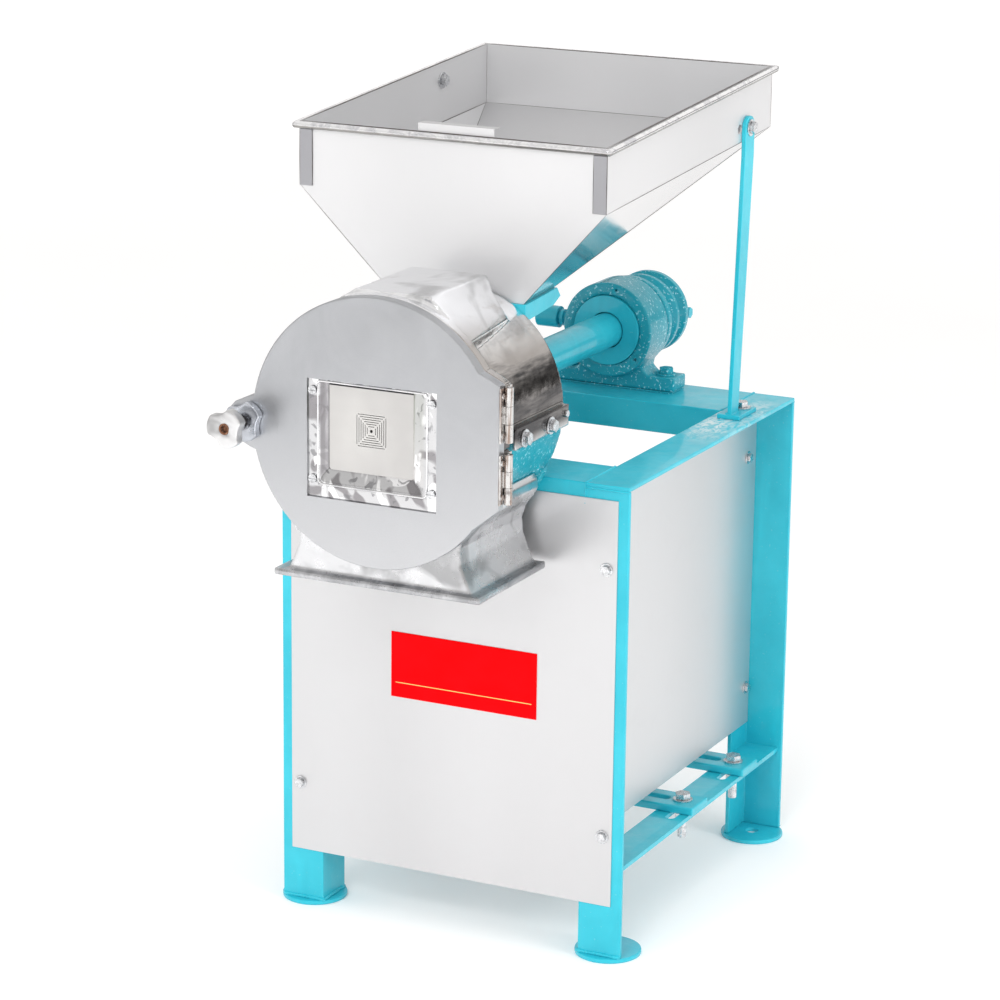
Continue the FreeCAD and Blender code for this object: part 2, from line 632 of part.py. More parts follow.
HOUSINGS = {"front": (38.0, 73.0, 38.0), "rear": (387.0, 437.0, 402.0)}
WEB = [(-78, 525), (78, 525), (78, 541), (46, 541), (38, 548), (41, 562), (50, 575), (30, 600),
       (-30, 600), (-50, 575), (-41, 562), (-38, 548), (-46, 541), (-78, 541)]
BEARINGS = {"front": (36.0, 46.0, 75.0), "rear": (384.0, 403.0, 439.0)}
covers, outer_rings, inner_rings, balls, base_bolts, packs = [], [], [], [], [], []
for end, (start, stop, web_start) in HOUSINGS.items():
    ring = drum(f"housing_ring_{end}", "housing_radius", start, stop - start)
    web = prism(f"housing_web_{end}", "xz", WEB, (0, fy(web_start), 0), stop - web_start)
    solid = fuse(f"housing_solid_{end}", ring, web)
    tools = [drum(f"housing_bore_{end}", "bearing_radius", start, stop - start)]
    for index, angle in enumerate((78, -42, 198)):
        lean = math.radians(angle)
        tools.append(rod(f"housing_hole_{end}_{index}", 2.0, 8,
                         (47.5 * math.cos(lean), fy(start), f"shaft_height + {47.5 * math.sin(lean)}")))
    label(cut(f"{end}_bearing_housing", solid, *tools), f"{end}_bearing_housing")
    packs.append(span(f"packing_{end}", (-76, 76), (web_start, stop), (523, 525)))
    for side, sign in SIDES:
        middle = (web_start + stop) / 2
        base_bolts.append(bolt(f"base_bolt_{end}_{side}", 8.5, 6.5, 2, (sign * 61, fy(middle), 541), "z"))
    first, seat, last = BEARINGS[end]
    for index, (low, high) in enumerate(((first, first + 8), (last - 8, last))):
        disc = drum(f"cover_{end}_{index}", "bearing_radius", low, high - low)
        hole = drum(f"cover_hole_{end}_{index}", "shaft_radius + cover_gap", low, high - low)
        covers.append(cut(f"cover_cut_{end}_{index}", disc, hole))
    race = drum(f"outer_race_{end}", "bearing_radius", seat, 18)
    outer_rings.append(cut(f"outer_ring_{end}", race, drum(f"outer_race_hole_{end}", 36.05, seat, 18)))
    race = drum(f"inner_race_{end}", 24, seat, 18)
    bore = drum(f"inner_race_hole_{end}", "shaft_radius", seat, 18)
    inner_rings.append(cut(f"inner_ring_{end}", race, bore))
    for index in range(9):
        lean = math.radians(40 * index)
        ball = doc.addObject("Part::Sphere", f"ball_{end}_{index}")
        bind(ball, "Radius", "ball_radius")
        put(ball, (30 * math.cos(lean), fy(seat + 9), f"shaft_height + {30 * math.sin(lean)}"))
        balls.append(ball)
label(group("pedestal_fixings", *packs, *base_bolts), "pedestal_fixings")
label(group("bearing_covers", *covers), "bearing_covers")
label(group("bearing_outer_rings", *outer_rings), "bearing_outer_rings")
label(group("bearing_inner_rings", *inner_rings), "bearing_inner_rings")
label(group("bearing_balls", *balls), "bearing_balls")

CUP_Y, CUP_Z = 412.0, 596.0
neck = cut("cup_neck", rod("cup_neck_rod", 6.5, 22, (-67, fy(CUP_Y), CUP_Z), "x"),
           drum("cup_neck_trim", "housing_radius", 380, 80))
cup = fuse("grease_cup", neck, rod("cup_collar", 9.5, 4, (-68, fy(CUP_Y), CUP_Z), "x"),
           rod("cup_spigot", 8, 20, (-88, fy(CUP_Y), CUP_Z), "x"))
label(cup, "grease_cup")
cap = cut("grease_cap", rod("cap_blank", 12.5, 27, (-97, fy(CUP_Y), CUP_Z), "x"),
          rod("cap_bore", 8.05, 23, (-93, fy(CUP_Y), CUP_Z), "x"))
label(cap, "grease_cap")

GROOVES = [(20, 447), (49.5, 447), (51, 449), (51, 456), (39, 462), (39, 471), (48, 479), (48, 485),
           (37, 491), (37, 497), (48, 503), (48, 510), (46.5, 512), (30, 512), (30, 527), (20, 527)]
body = doc.addObject("PartDesign::Body", "pulley")
sketch = body.newObject("Sketcher::SketchObject", "pulley_sketch")
base = next(item for item in body.Origin.OriginFeatures if item.Role == "XY_Plane")
sketch.AttachmentSupport = [(base, "")]
sketch.MapMode = "FlatFace"
draw(sketch, "pulley", GROOVES)
turned = body.newObject("PartDesign::Revolution", "pulley_revolution")
turned.Profile = sketch
turned.ReferenceAxis = (sketch, ["V_Axis"])
turned.Angle = 360
body.Tip = turned
put(body, (0, "-frame_depth / 2", AXIS))
label(body, "pulley")
set_solid = fuse("set_screw_solid", rod("set_screw_shank", 4, 12, (27, fy(519.5), AXIS), "x"),
                 hexagon("set_screw_head", 6.5, 9, (38, fy(519.5), AXIS), "x"))
label(cut("set_screw", set_solid, drum("set_screw_trim", 30, 500, 40)), "set_screw")

# Rotor: a hub with two discs and four swinging rows of hammers.
FIRST, LAST = -126.0, -14.0
hub = drum("rotor_hub", 27, FIRST, LAST - FIRST)
plates = [drum("rotor_disc_front", "disc_radius", FIRST, 8),
          drum("rotor_disc_rear", "disc_radius", LAST - 8, 8)]
bores = [drum("rotor_bore", "shaft_radius", FIRST - 2, LAST - FIRST + 4)]
rods = []
ROWS = ((1, 45.0), (2, 135.0), (3, 225.0), (4, 315.0))
for row, angle in ROWS:
    lean = math.radians(angle)
    spot = (f"pin_circle * {math.cos(lean):.9f}", f"shaft_height + pin_circle * {math.sin(lean):.9f}")
    bores.append(rod(f"pin_hole_{row}", "hammer_pin_radius", LAST - FIRST + 4,
                     (spot[0], fy(FIRST - 2), spot[1])))
    rods.append(rod(f"hammer_pin_{row}", "hammer_pin_radius", LAST - FIRST + 4,
                    (spot[0], fy(FIRST - 2), spot[1])))
label(cut("rotor_discs", fuse("rotor_solid", hub, *plates), *bores), "rotor_discs")
label(group("hammer_pins", *rods), "hammer_pins")

for row, angle in ROWS:
    lean = math.radians(angle)
    spot = (f"pin_circle * {math.cos(lean):.9f}", f"shaft_height + pin_circle * {math.sin(lean):.9f}")
    parts = [rod(f"sleeve_{row}", 9, LAST - FIRST - 17, (spot[0], fy(FIRST + 8.5), spot[1]))]
    turn = FreeCAD.Rotation(V(0, 1, 0), -angle)
    for blade in range(4):
        start = FIRST + 12 + 25.5 * blade
        item = doc.addObject("Part::Box", f"blade_{row}_{blade}")
        bind(item, "Length", "hammer_length")
        bind(item, "Width", "hammer_thick")
        bind(item, "Height", "hammer_width")
        back = V(-12 * math.cos(lean) + 12.5 * math.sin(lean), 0,
                 -12 * math.sin(lean) - 12.5 * math.cos(lean))
        put(item, (f"{spot[0]} + {back.x:.9f}", fy(start), f"{spot[1]} + {back.z:.9f}"), turn)
        parts.append(item)
    solid = fuse(f"hammer_solid_{row}", *parts)
    hole = rod(f"hammer_hole_{row}", "hammer_pin_radius + 0.06", 200, (spot[0], fy(-170), spot[1]))
    label(cut(f"hammer_row_{row}", solid, hole), f"hammer_row_{row}")

# Hopper, gate, chute and struts.
TILT = FreeCAD.Rotation(V(1, 0, 0), cells["hopper_tilt"])


def tilted(name, sides, at_height, front):
    left, right, near, far = sides
    points = [(left, near), (right, near), (right, far), (left, far)]
    return outline(name, "xy", points, (0, fy(front), at_height), TILT)


wall = 1.5
mouth = ("hopper_left", "hopper_right", "0 * hopper_long", "hopper_long")
mouth_in = (f"hopper_left + {wall}", f"hopper_right - {wall}", f"{wall} + 0 * hopper_long",
            f"hopper_long - {wall}")
cone_in = ("hopper_left + 2.1", "hopper_right - 2.1", f"{wall} + 0 * hopper_long", "hopper_long - 4.5")
outlet = ("outlet_left", "outlet_right", "0 * hopper_long", "outlet_long")
outlet_in = ("outlet_left + 2.1", "outlet_right - 2.1", f"{wall} + 0 * hopper_long", "outlet_long - 4.5")
band_low = "rim_height - band_height"
front_at = "hopper_front"
outer = fuse(
    "hopper_outer",
    loft("band_outer", tilted("band_outer_low", mouth, band_low, front_at),
         tilted("band_outer_top", mouth, "rim_height", front_at)),
    loft("cone_outer", tilted("cone_outer_low", outlet, "outlet_height", front_at),
         tilted("cone_outer_top", mouth, band_low, front_at)),
)
inner = fuse(
    "hopper_inner",
    loft("band_inner", tilted("band_inner_low", mouth_in, band_low, front_at),
         tilted("band_inner_top", mouth_in, "rim_height", front_at)),
    loft("cone_inner", tilted("cone_inner_low", outlet_in, "outlet_height", front_at),
         tilted("cone_inner_top", cone_in, band_low, front_at)),
)
spare_hole = rod("spare_hole", 5.5, 12, (155, fy(372.5), 838), "x")
label(cut("hopper_shell", outer, inner, spare_hole), "hopper_shell")

rim = []
drop = "rim_height - rim_radius"
rise = math.sin(math.radians(cells["hopper_tilt"]))
flat = math.cos(math.radians(cells["hopper_tilt"]))
along_tilt = FreeCAD.Rotation(V(1, 0, 0), -90 + cells["hopper_tilt"])
for name, across in (("left", "hopper_left - rim_radius"), ("right", "hopper_right + rim_radius")):
    item = doc.addObject("Part::Cylinder", "rim_" + name)
    bind(item, "Radius", "rim_radius")
    bind(item, "Height", "hopper_long + 2 * rim_radius")
    start = (across, fy(f"hopper_front - rim_radius * {flat:.6f}"), f"{drop} - rim_radius * {rise:.6f}")
    put(item, start, along_tilt)
    rim.append(item)
far_y = f"hopper_front + (hopper_long + rim_radius) * {flat:.6f}"
far_z = f"{drop} + (hopper_long + rim_radius) * {rise:.6f}"
near_y = f"hopper_front - rim_radius * {flat:.6f}"
near_z = f"{drop} - rim_radius * {rise:.6f}"
for name, along, height in (("front", near_y, near_z), ("rear", far_y, far_z)):
    rim.append(rod("rim_" + name, "rim_radius", "hopper_right - hopper_left + 2 * rim_radius",
                   ("hopper_left - rim_radius", fy(along), height), "x"))
    for side, across in (("left", "hopper_left - rim_radius"), ("right", "hopper_right + rim_radius")):
        knuckle = doc.addObject("Part::Sphere", f"rim_corner_{name}_{side}")
        bind(knuckle, "Radius", "rim_radius")
        put(knuckle, (across, fy(along), height))
        rim.append(knuckle)
label(cut("hopper_rim", fuse("rim_all", *rim), loft(
    "rim_trim", tilted("rim_trim_low", mouth, band_low, front_at),
    tilted("rim_trim_top", mouth, "rim_height + 10", front_at))), "hopper_rim")

strips = []
for side, low in (("left", -194.0), ("right", 147.0)):
    strips.append(span(f"corner_strip_{side}", (low, low + 15), (21.8, 23), (799, 859)))

TRAY_REAR = 697 + 73 * math.tan(math.radians(cells["hopper_tilt"]))
TRAY = [(19.3, 679), (88, 685), (104, 692), (96, TRAY_REAR), (23, 697), (19.3, 697)]
TRAY_IN = [(23.3, 683), (87, 689), (93, 693), (91.5, 715), (23.3, 715)]
DUCT = [(19.3, 641), (92, 690), (60, 690), (19.3, 690)]
DUCT_IN = [(15, 643), (84, 690.5), (15, 690.5)]
tray = fuse("chute_solid", prism("chute_tray", "yz", TRAY, (-91, "-frame_depth / 2", 0), 165),
            prism("chute_duct", "yz", DUCT, (-62, "-frame_depth / 2", 0), 102))
chute = cut("feed_chute", tray, prism("chute_tray_in", "yz", TRAY_IN, (-85, "-frame_depth / 2", 0), 153),
            prism("chute_duct_in", "yz", DUCT_IN, (-58, "-frame_depth / 2", 0), 94))
label(chute, "feed_chute")

GATE = (-55.0, 33.0)
gate = fuse("feed_gate", span("gate_plate", GATE, (25, 26.5), (651, 876)),
            span("gate_lip", GATE, (26.5, 38), (874.5, 876)))
label(gate, "feed_gate")
guides = []
for side, low in (("left", -58.3), ("right", 33.3)):
    guides.append(span(f"guide_web_{side}", (low, low + 3), (24.5, 28.6), (735, 795)))
for side, low in (("left", -58.3), ("right", 29.3)):
    guides.append(span(f"guide_lip_{side}", (low, low + 7), (27, 28.6), (735, 795)))
guide_pair = (fuse("guide_left", guides[0], guides[2]), fuse("guide_right", guides[1], guides[3]))
label(group("hopper_fittings", *strips, *guide_pair), "hopper_fittings")


def strut(side, foot_x, face, foot_y, top_y, top_z, head_drop):
    """A flat bar from a foot on the side rail up to the hopper's band."""
    out = 5 if side == "right" else -5
    low_x, high_x = sorted((foot_x, foot_x + 5))
    top_low, top_high = sorted((face, face + out))
    corners = [(low_x, foot_y), (high_x, foot_y), (high_x, foot_y + 21), (low_x, foot_y + 21)]
    upper = [(top_low, top_y - 13), (top_high, top_y - 13), (top_high, top_y + 13), (top_low, top_y + 13)]
    shift = "-frame_depth / 2"
    bend = outline(f"strut_{side}_bend", "xy", upper, (0, shift, top_z - head_drop))
    bar = loft(f"strut_{side}_bar", outline(f"strut_{side}_low", "xy", corners, (0, shift, 525)), bend)
    head = span(f"strut_{side}_head", (top_low, top_high), (top_y - 13, top_y + 13),
                (top_z - head_drop, top_z))
    cap = rod(f"strut_{side}_cap", 13, 5, (top_low, fy(top_y), top_z), "x")
    foot = span(f"strut_{side}_foot", (foot_x - 11, foot_x + 16), (foot_y - 3, foot_y + 47), (523, 528))
    return label(fuse(f"strut_{side}", bar, head, cap, foot), f"strut_{side}")


strut("right", 176, 162, 325, 391, 838, 32)
strut("left", -181, -194, 289, 347, 869, 56)
screws = [
    bolt("strut_foot_right", 8, 6, 1.8, (178, fy(361), 528), "z"),
    bolt("strut_foot_left", 8, 6, 1.8, (-178, fy(325), 528), "z"),
    bolt("strut_head_right", 7, 5, 1.6, (167, fy(391), 838), "x"),
    bolt("strut_nut_right", 7, 5, 1.6, (160.5, fy(391), 838), "-x"),
    bolt("strut_head_left", 7, 5, 1.6, (-192.5, fy(347), 869), "x"),
    bolt("strut_nut_left", 7, 5, 1.6, (-199, fy(347), 869), "-x"),
]
label(group("strut_bolts", *screws), "strut_bolts")

doc.recompute()
faults = [item.Name for item in doc.Objects if "Invalid" in item.State or "Error" in item.State]
if faults:
    raise RuntimeError("faulty features: " + ", ".join(faults))
os.makedirs("parts", exist_ok=True)
for name, item in nodes:
    shape = item.Shape
    if shape.isNull() or not shape.isValid() or not shape.Solids:
        raise RuntimeError("bad shape: " + name)
    shape.exportStep("parts/" + name + ".step")
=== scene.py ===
"""Looks for the hammer mill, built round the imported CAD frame. Metres, +Z up, the door faces -Y."""

import math

import bmesh
import bpy
from mathutils import Matrix, Vector, noise


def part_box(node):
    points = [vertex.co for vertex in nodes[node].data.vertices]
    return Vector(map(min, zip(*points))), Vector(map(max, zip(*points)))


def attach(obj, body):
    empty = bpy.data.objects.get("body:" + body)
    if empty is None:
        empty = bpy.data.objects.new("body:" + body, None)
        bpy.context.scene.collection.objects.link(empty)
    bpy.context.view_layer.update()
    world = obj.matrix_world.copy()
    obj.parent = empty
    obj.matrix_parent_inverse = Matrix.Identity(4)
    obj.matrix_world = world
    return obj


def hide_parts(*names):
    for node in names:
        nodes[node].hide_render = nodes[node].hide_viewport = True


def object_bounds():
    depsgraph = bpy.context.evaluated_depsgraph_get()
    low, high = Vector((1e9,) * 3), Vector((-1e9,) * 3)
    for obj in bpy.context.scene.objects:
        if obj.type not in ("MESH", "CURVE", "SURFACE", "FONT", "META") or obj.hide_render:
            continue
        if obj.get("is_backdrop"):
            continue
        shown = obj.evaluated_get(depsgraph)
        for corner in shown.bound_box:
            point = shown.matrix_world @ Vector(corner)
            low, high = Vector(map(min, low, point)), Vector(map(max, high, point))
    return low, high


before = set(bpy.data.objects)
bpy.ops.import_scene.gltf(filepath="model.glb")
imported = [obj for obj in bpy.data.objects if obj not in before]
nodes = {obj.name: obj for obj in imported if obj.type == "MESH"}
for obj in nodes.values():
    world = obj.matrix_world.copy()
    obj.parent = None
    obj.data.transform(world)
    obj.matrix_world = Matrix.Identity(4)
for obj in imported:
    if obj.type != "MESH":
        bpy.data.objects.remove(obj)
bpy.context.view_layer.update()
scene = bpy.context.scene
MM = 0.001
AXIS_Z = 0.593  # height of the rotor's axis
SAME_POINT = 2e-6  # corners closer than this are one
FLAT_ANGLE = math.radians(0.6)  # faces closer than this to one plane are one

# Camera


def add_camera():
    """A long lens from the front, on the right and above."""
    data = bpy.data.cameras.new("camera")
    data.sensor_width = 36.0
    data.lens = 126.65
    camera = bpy.data.objects.new("camera", data)
    scene.collection.objects.link(camera)
    right = Vector((0.8965, 0.4428, 0.0115)).normalized()
    back = Vector((0.4249, -0.8669, 0.2608)).normalized()
    up = back.cross(right).normalized()
    right = up.cross(back)
    turn = Matrix((right, up, back)).transposed()
    camera.matrix_world = Matrix.Translation((1.61746, -3.41209, 1.44928)) @ turn.to_4x4()
    data.clip_end = 200.0
    scene.camera = camera


add_camera()
scene.view_settings.view_transform = "Standard"


# Node graphs


class Graph:
    """A material and short calls that add nodes to it."""

    def __init__(self, name):
        self.material = bpy.data.materials.new(name)
        self.material.use_nodes = True
        self.tree = self.material.node_tree
        self.bsdf = self.tree.nodes["Principled BSDF"]
        coordinates = self.add("ShaderNodeTexCoord")
        self.place = coordinates.outputs["Object"]
        self.facing = coordinates.outputs["Normal"]

    def add(self, kind, **settings):
        node = self.tree.nodes.new(kind)
        for key, value in settings.items():
            setattr(node, key, value)
        return node

    def feed(self, socket, value):
        if isinstance(value, bpy.types.NodeSocket):
            self.tree.links.new(value, socket)
        else:
            socket.default_value = value

    def stretched(self, scale, turn=(0, 0, 0)):
        """The place, scaled so that noise on it is drawn out along its smaller numbers."""
        node = self.add("ShaderNodeMapping")
        self.feed(node.inputs["Vector"], self.place)
        node.inputs["Scale"].default_value = scale
        node.inputs["Rotation"].default_value = turn
        return node.outputs["Vector"]

    def noise(self, scale, detail=2.0, rough=0.5, at=None, warp=0.0):
        node = self.add("ShaderNodeTexNoise")
        self.feed(node.inputs["Vector"], at or self.place)
        node.inputs["Scale"].default_value = scale
        node.inputs["Detail"].default_value = detail
        node.inputs["Roughness"].default_value = rough
        node.inputs["Distortion"].default_value = warp
        return node.outputs["Fac"]

    def spread(self, value, low, high, out_low=0.0, out_high=1.0):
        """Maps low..high to out_low..out_high, and holds the ends beyond."""
        node = self.add("ShaderNodeMapRange")
        self.feed(node.inputs["Value"], value)
        for key, number in (("From Min", low), ("From Max", high), ("To Min", out_low), ("To Max", out_high)):
            node.inputs[key].default_value = number
        return node.outputs["Result"]

    def calc(self, operation, first, second=0.0):
        node = self.add("ShaderNodeMath", operation=operation)
        self.feed(node.inputs[0], first)
        self.feed(node.inputs[1], second)
        return node.outputs[0]

    def split(self, vector):
        node = self.add("ShaderNodeSeparateXYZ")
        self.feed(node.inputs[0], vector)
        return node.outputs

    def distance(self, across, up):
        """How far a point is from the line where both are 0."""
        squares = [self.calc("MULTIPLY", value, value) for value in (across, up)]
        return self.calc("SQRT", self.calc("ADD", *squares))

    def mix(self, share, first, second):
        node = self.add("ShaderNodeMix", data_type="RGBA")
        self.feed(node.inputs["Factor"], share)
        for socket, value in ((node.inputs[6], first), (node.inputs[7], second)):
            self.feed(socket, (*value, 1.0) if isinstance(value, tuple) else value)
        return node.outputs[2]

    def bump(self, height, depth, below=None):
        node = self.add("ShaderNodeBump")
        node.inputs["Strength"].default_value = 1.0
        node.inputs["Distance"].default_value = depth
        self.feed(node.inputs["Height"], height)
        if below is not None:
            self.feed(node.inputs["Normal"], below)
        return node.outputs["Normal"]

    def finish(self, colour, rough, normal=None, **fixed):
        self.feed(self.bsdf.inputs["Base Color"], colour)
        self.feed(self.bsdf.inputs["Roughness"], rough)
        if normal is not None:
            self.feed(self.bsdf.inputs["Normal"], normal)
        for key, value in fixed.items():
            self.bsdf.inputs[key.replace("_", " ")].default_value = value
        return self.material


def within(graph, centre, size):
    """1 at a point and 0 beyond the given half sizes: for marks that stay in one place."""
    share = None
    for output, middle, half in zip(graph.split(graph.place), centre, size):
        off = graph.calc("ABSOLUTE", graph.calc("SUBTRACT", output, middle))
        here = graph.spread(off, half, half * 0.35)
        share = here if share is None else graph.calc("MULTIPLY", share, here)
    return share


def teal(name, cast_shaded=False, scuffs_and_sheen=()):
    """Brushed enamel over steel, or over a rough casting, darkened there as painted shade."""
    g = Graph(name)
    cloud = g.noise(9.0, 4.0, 0.6)
    colour = g.mix(g.spread(cloud, 0.25, 0.75), (0.012, 0.43, 0.55), (0.040, 0.57, 0.70))
    runs = g.noise(28.0, 3.0, 0.6, g.stretched((1.0, 1.0, 0.25)), 0.6)
    colour = g.mix(g.spread(runs, 0.56, 0.72, 0.0, 0.35), colour, (0.03, 0.62, 0.75))
    specks = g.noise(420.0, 2.0, 0.5)
    colour = g.mix(g.spread(specks, 0.70, 0.78, 0.0, 0.6), colour, (0.25, 0.62, 0.68))
    # pale worn patches of chipped paint, partly real wear and partly a painted reflection on the right rail's
    # rear
    for centre, size in scuffs_and_sheen:
        chips = g.noise(95.0, 6.0, 0.72, g.stretched((1.0, 0.5, 1.0)), 0.8)
        worn_and_sheen = g.calc("MULTIPLY", within(g, centre, size), g.spread(chips, 0.45, 0.57))
        colour = g.mix(worn_and_sheen, colour, (0.62, 0.75, 0.77))
    rough = g.spread(g.noise(60.0, 3.0), 0.3, 0.7, 0.32, 0.48)
    if cast_shaded:
        # painted shade: the teal on castings is darkened, since these parts stand back in shade behind and
        # under the drum
        colour = g.mix(0.42, colour, (0.0, 0.15, 0.20))
        grit = g.noise(300.0, 3.0, 0.6)
        colour = g.mix(g.spread(grit, 0.60, 0.66, 0.0, 0.8), colour, (0.50, 0.86, 0.92))
        normal = g.bump(g.noise(150.0, 5.0, 0.62), 0.0011)
        normal = g.bump(g.noise(520.0, 3.0, 0.6), 0.0003, normal)
    else:
        normal = g.bump(g.noise(42.0, 3.0, 0.55, g.stretched((1.0, 1.0, 0.45))), 0.0007)
        normal = g.bump(g.noise(380.0, 3.0, 0.6), 0.00016, normal)
    return g.finish(colour, rough, normal, Coat_Weight=0.45, Coat_Roughness=0.05, Specular_IOR_Level=0.3)


def sheet_steel(name, tone, rough, upright=True, metal=1.0, under=None, blotch=None):
    """Stainless sheet with faint mill lines up or across it; under is its undersides' own roughness, and when
    it is given the faces that look up get painted shade.
    """
    g = Graph(name)
    lines = g.noise(1.0, 2.0, 0.5, g.stretched((900.0, 900.0, 9.0) if upright else (9.0, 900.0, 900.0)))
    broad = g.noise(4.5, 1.0, 0.5, g.stretched((1.0, 1.0, 0.12 if upright else 1.0)))
    dull = tuple(0.90 * value for value in tone)
    colour = g.mix(g.spread(broad, 0.3, 0.7), dull, tone)
    prints = g.noise(24.0, 5.0, 0.65, None, 1.2)
    if blotch:
        # painted reflection: soft darker blotches, as a polished sheet mirrors its surroundings
        reflection_blotch = g.noise(30.0, 1.0, 0.5, g.stretched((1.0, 1.0, 0.7)), 0.4)
        colour = g.mix(g.spread(reflection_blotch, 0.46, 0.62), colour, blotch)
    value = g.calc("ADD", g.spread(lines, 0.3, 0.7, -0.012, 0.012), g.spread(prints, 0.55, 0.75, 0.0, 0.05))
    if under is not None:
        up = g.split(g.facing)[2]
        # painted shade: faces that look up, such as the inside of the hopper's funnel, are darkened towards
        # grey
        colour = g.mix(g.spread(up, 0.12, 0.45, 0.0, 0.55), colour, (0.42, 0.42, 0.43))
        rough = g.spread(up, -0.35, -0.15, under, rough)
        metal = g.spread(up, -0.35, -0.15, metal, 0.50)
    g.feed(g.bsdf.inputs["Metallic"], metal)
    return g.finish(colour, g.calc("ADD", value, rough), g.bump(g.noise(4.0, 1.0), 0.0005))


def pressed_sheet(name):
    """Thin polished sheet, wavy from the press, with painted reflections: light and dark waves, white
    streaks, and painted shade on the walls that look sideways.
    """
    g = Graph(name)
    # painted reflection: dark and light waves, as the wavy sheet mirrors its surroundings
    wave = g.noise(26.0, 1.0, 0.5, g.stretched((1.0, 1.0, 0.8)), 1.6)
    colour = g.mix(g.spread(wave, 0.50, 0.56), (0.60, 0.60, 0.61), (0.30, 0.29, 0.30))
    # painted highlight: white streaks
    highlight_streak = g.noise(34.0, 1.0, 0.5, g.stretched((1.0, 1.0, 0.5), (0.0, 0.6, 0.0)), 2.0)
    colour = g.mix(g.spread(highlight_streak, 0.55, 0.60), colour, (0.96, 0.96, 0.97))
    fleck = g.noise(90.0, 2.0, 0.5, None, 0.8)
    colour = g.mix(g.spread(fleck, 0.60, 0.66, 0.0, 0.7), colour, (0.20, 0.20, 0.21))
    across = g.split(g.facing)[0]
    # painted shade: walls that face right, on the recess's left, are darkened
    colour = g.mix(g.spread(across, 0.20, 0.45, 0.0, 0.9), colour, (0.22, 0.21, 0.22))
    # painted reflection: walls that face left, on the recess's right, are tinted light grey below and dark
    # olive green towards the top
    height = g.split(g.place)[2]
    low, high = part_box("window_frame")
    reflected_tint = g.mix(g.spread(height, low.z + 0.04, high.z - 0.03), (0.70, 0.68, 0.66), (0.22, 0.25, 0.17))
    colour = g.mix(g.spread(across, -0.20, -0.45, 0.0, 0.9), colour, reflected_tint)
    value = g.spread(g.noise(60.0, 3.0), 0.3, 0.7, 0.08, 0.18)
    return g.finish(colour, value, g.bump(g.noise(30.0, 1.0), 0.0006), Metallic=1.0)


def vent_sheet(name):
    """Dull stainless, with a painted shadow line under the frame's head."""
    g = Graph(name)
    lines = g.noise(1.0, 2.0, 0.5, g.stretched((9.0, 900.0, 900.0)))
    cloud = g.noise(16.0, 2.0)
    colour = g.mix(g.spread(cloud, 0.35, 0.65), (0.56, 0.55, 0.54), (0.64, 0.63, 0.615))
    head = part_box("window_frame")[1].z
    # painted shadow: a near-black line across the plate's top, under the frame's head
    seam = g.spread(g.split(g.place)[2], head - 0.0064, head - 0.0058)
    colour = g.mix(seam, colour, (0.035, 0.035, 0.04))
    value = g.calc("ADD", g.spread(lines, 0.3, 0.7, 0.29, 0.33), g.calc("MULTIPLY", seam, 0.3))
    return g.finish(colour, value, g.bump(g.noise(6.0, 1.0), 0.0004), Metallic=1.0)


def hinge_steel(name):
    """Bright drawn steel with brown lines and dirt in its long joints."""
    g = Graph(name)
    line = g.noise(1.0, 2.0, 0.5, g.stretched((420.0, 420.0, 14.0)))
    colour = g.mix(g.spread(line, 0.50, 0.60), (0.64, 0.63, 0.62), (0.33, 0.25, 0.21))
    dirt = g.noise(150.0, 4.0, 0.6)
    colour = g.mix(g.spread(dirt, 0.55, 0.70, 0.0, 0.7), colour, (0.16, 0.13, 0.12))
    return g.finish(colour, g.spread(dirt, 0.3, 0.7, 0.14, 0.34), g.bump(line, 0.0003), Metallic=1.0)


def rolled_sheet(name):
    """Bright rolled edge: its underside carries a painted reflection of the dull floor, and patches of it are
    hammered.
    """
    g = Graph(name)
    smear = g.noise(38.0, 4.0, 0.6, None, 0.8)
    colour = g.mix(g.spread(smear, 0.46, 0.62), (0.97, 0.97, 0.98), (0.74, 0.74, 0.77))
    # painted reflection: faces that look down are darkened to a brownish grey
    colour = g.mix(g.spread(g.split(g.facing)[2], 0.10, -0.25, 0.0, 0.9), colour, (0.26, 0.25, 0.235))
    return g.finish(colour, g.spread(smear, 0.3, 0.7, 0.14, 0.30), g.bump(smear, 0.0006), Metallic=1.0)


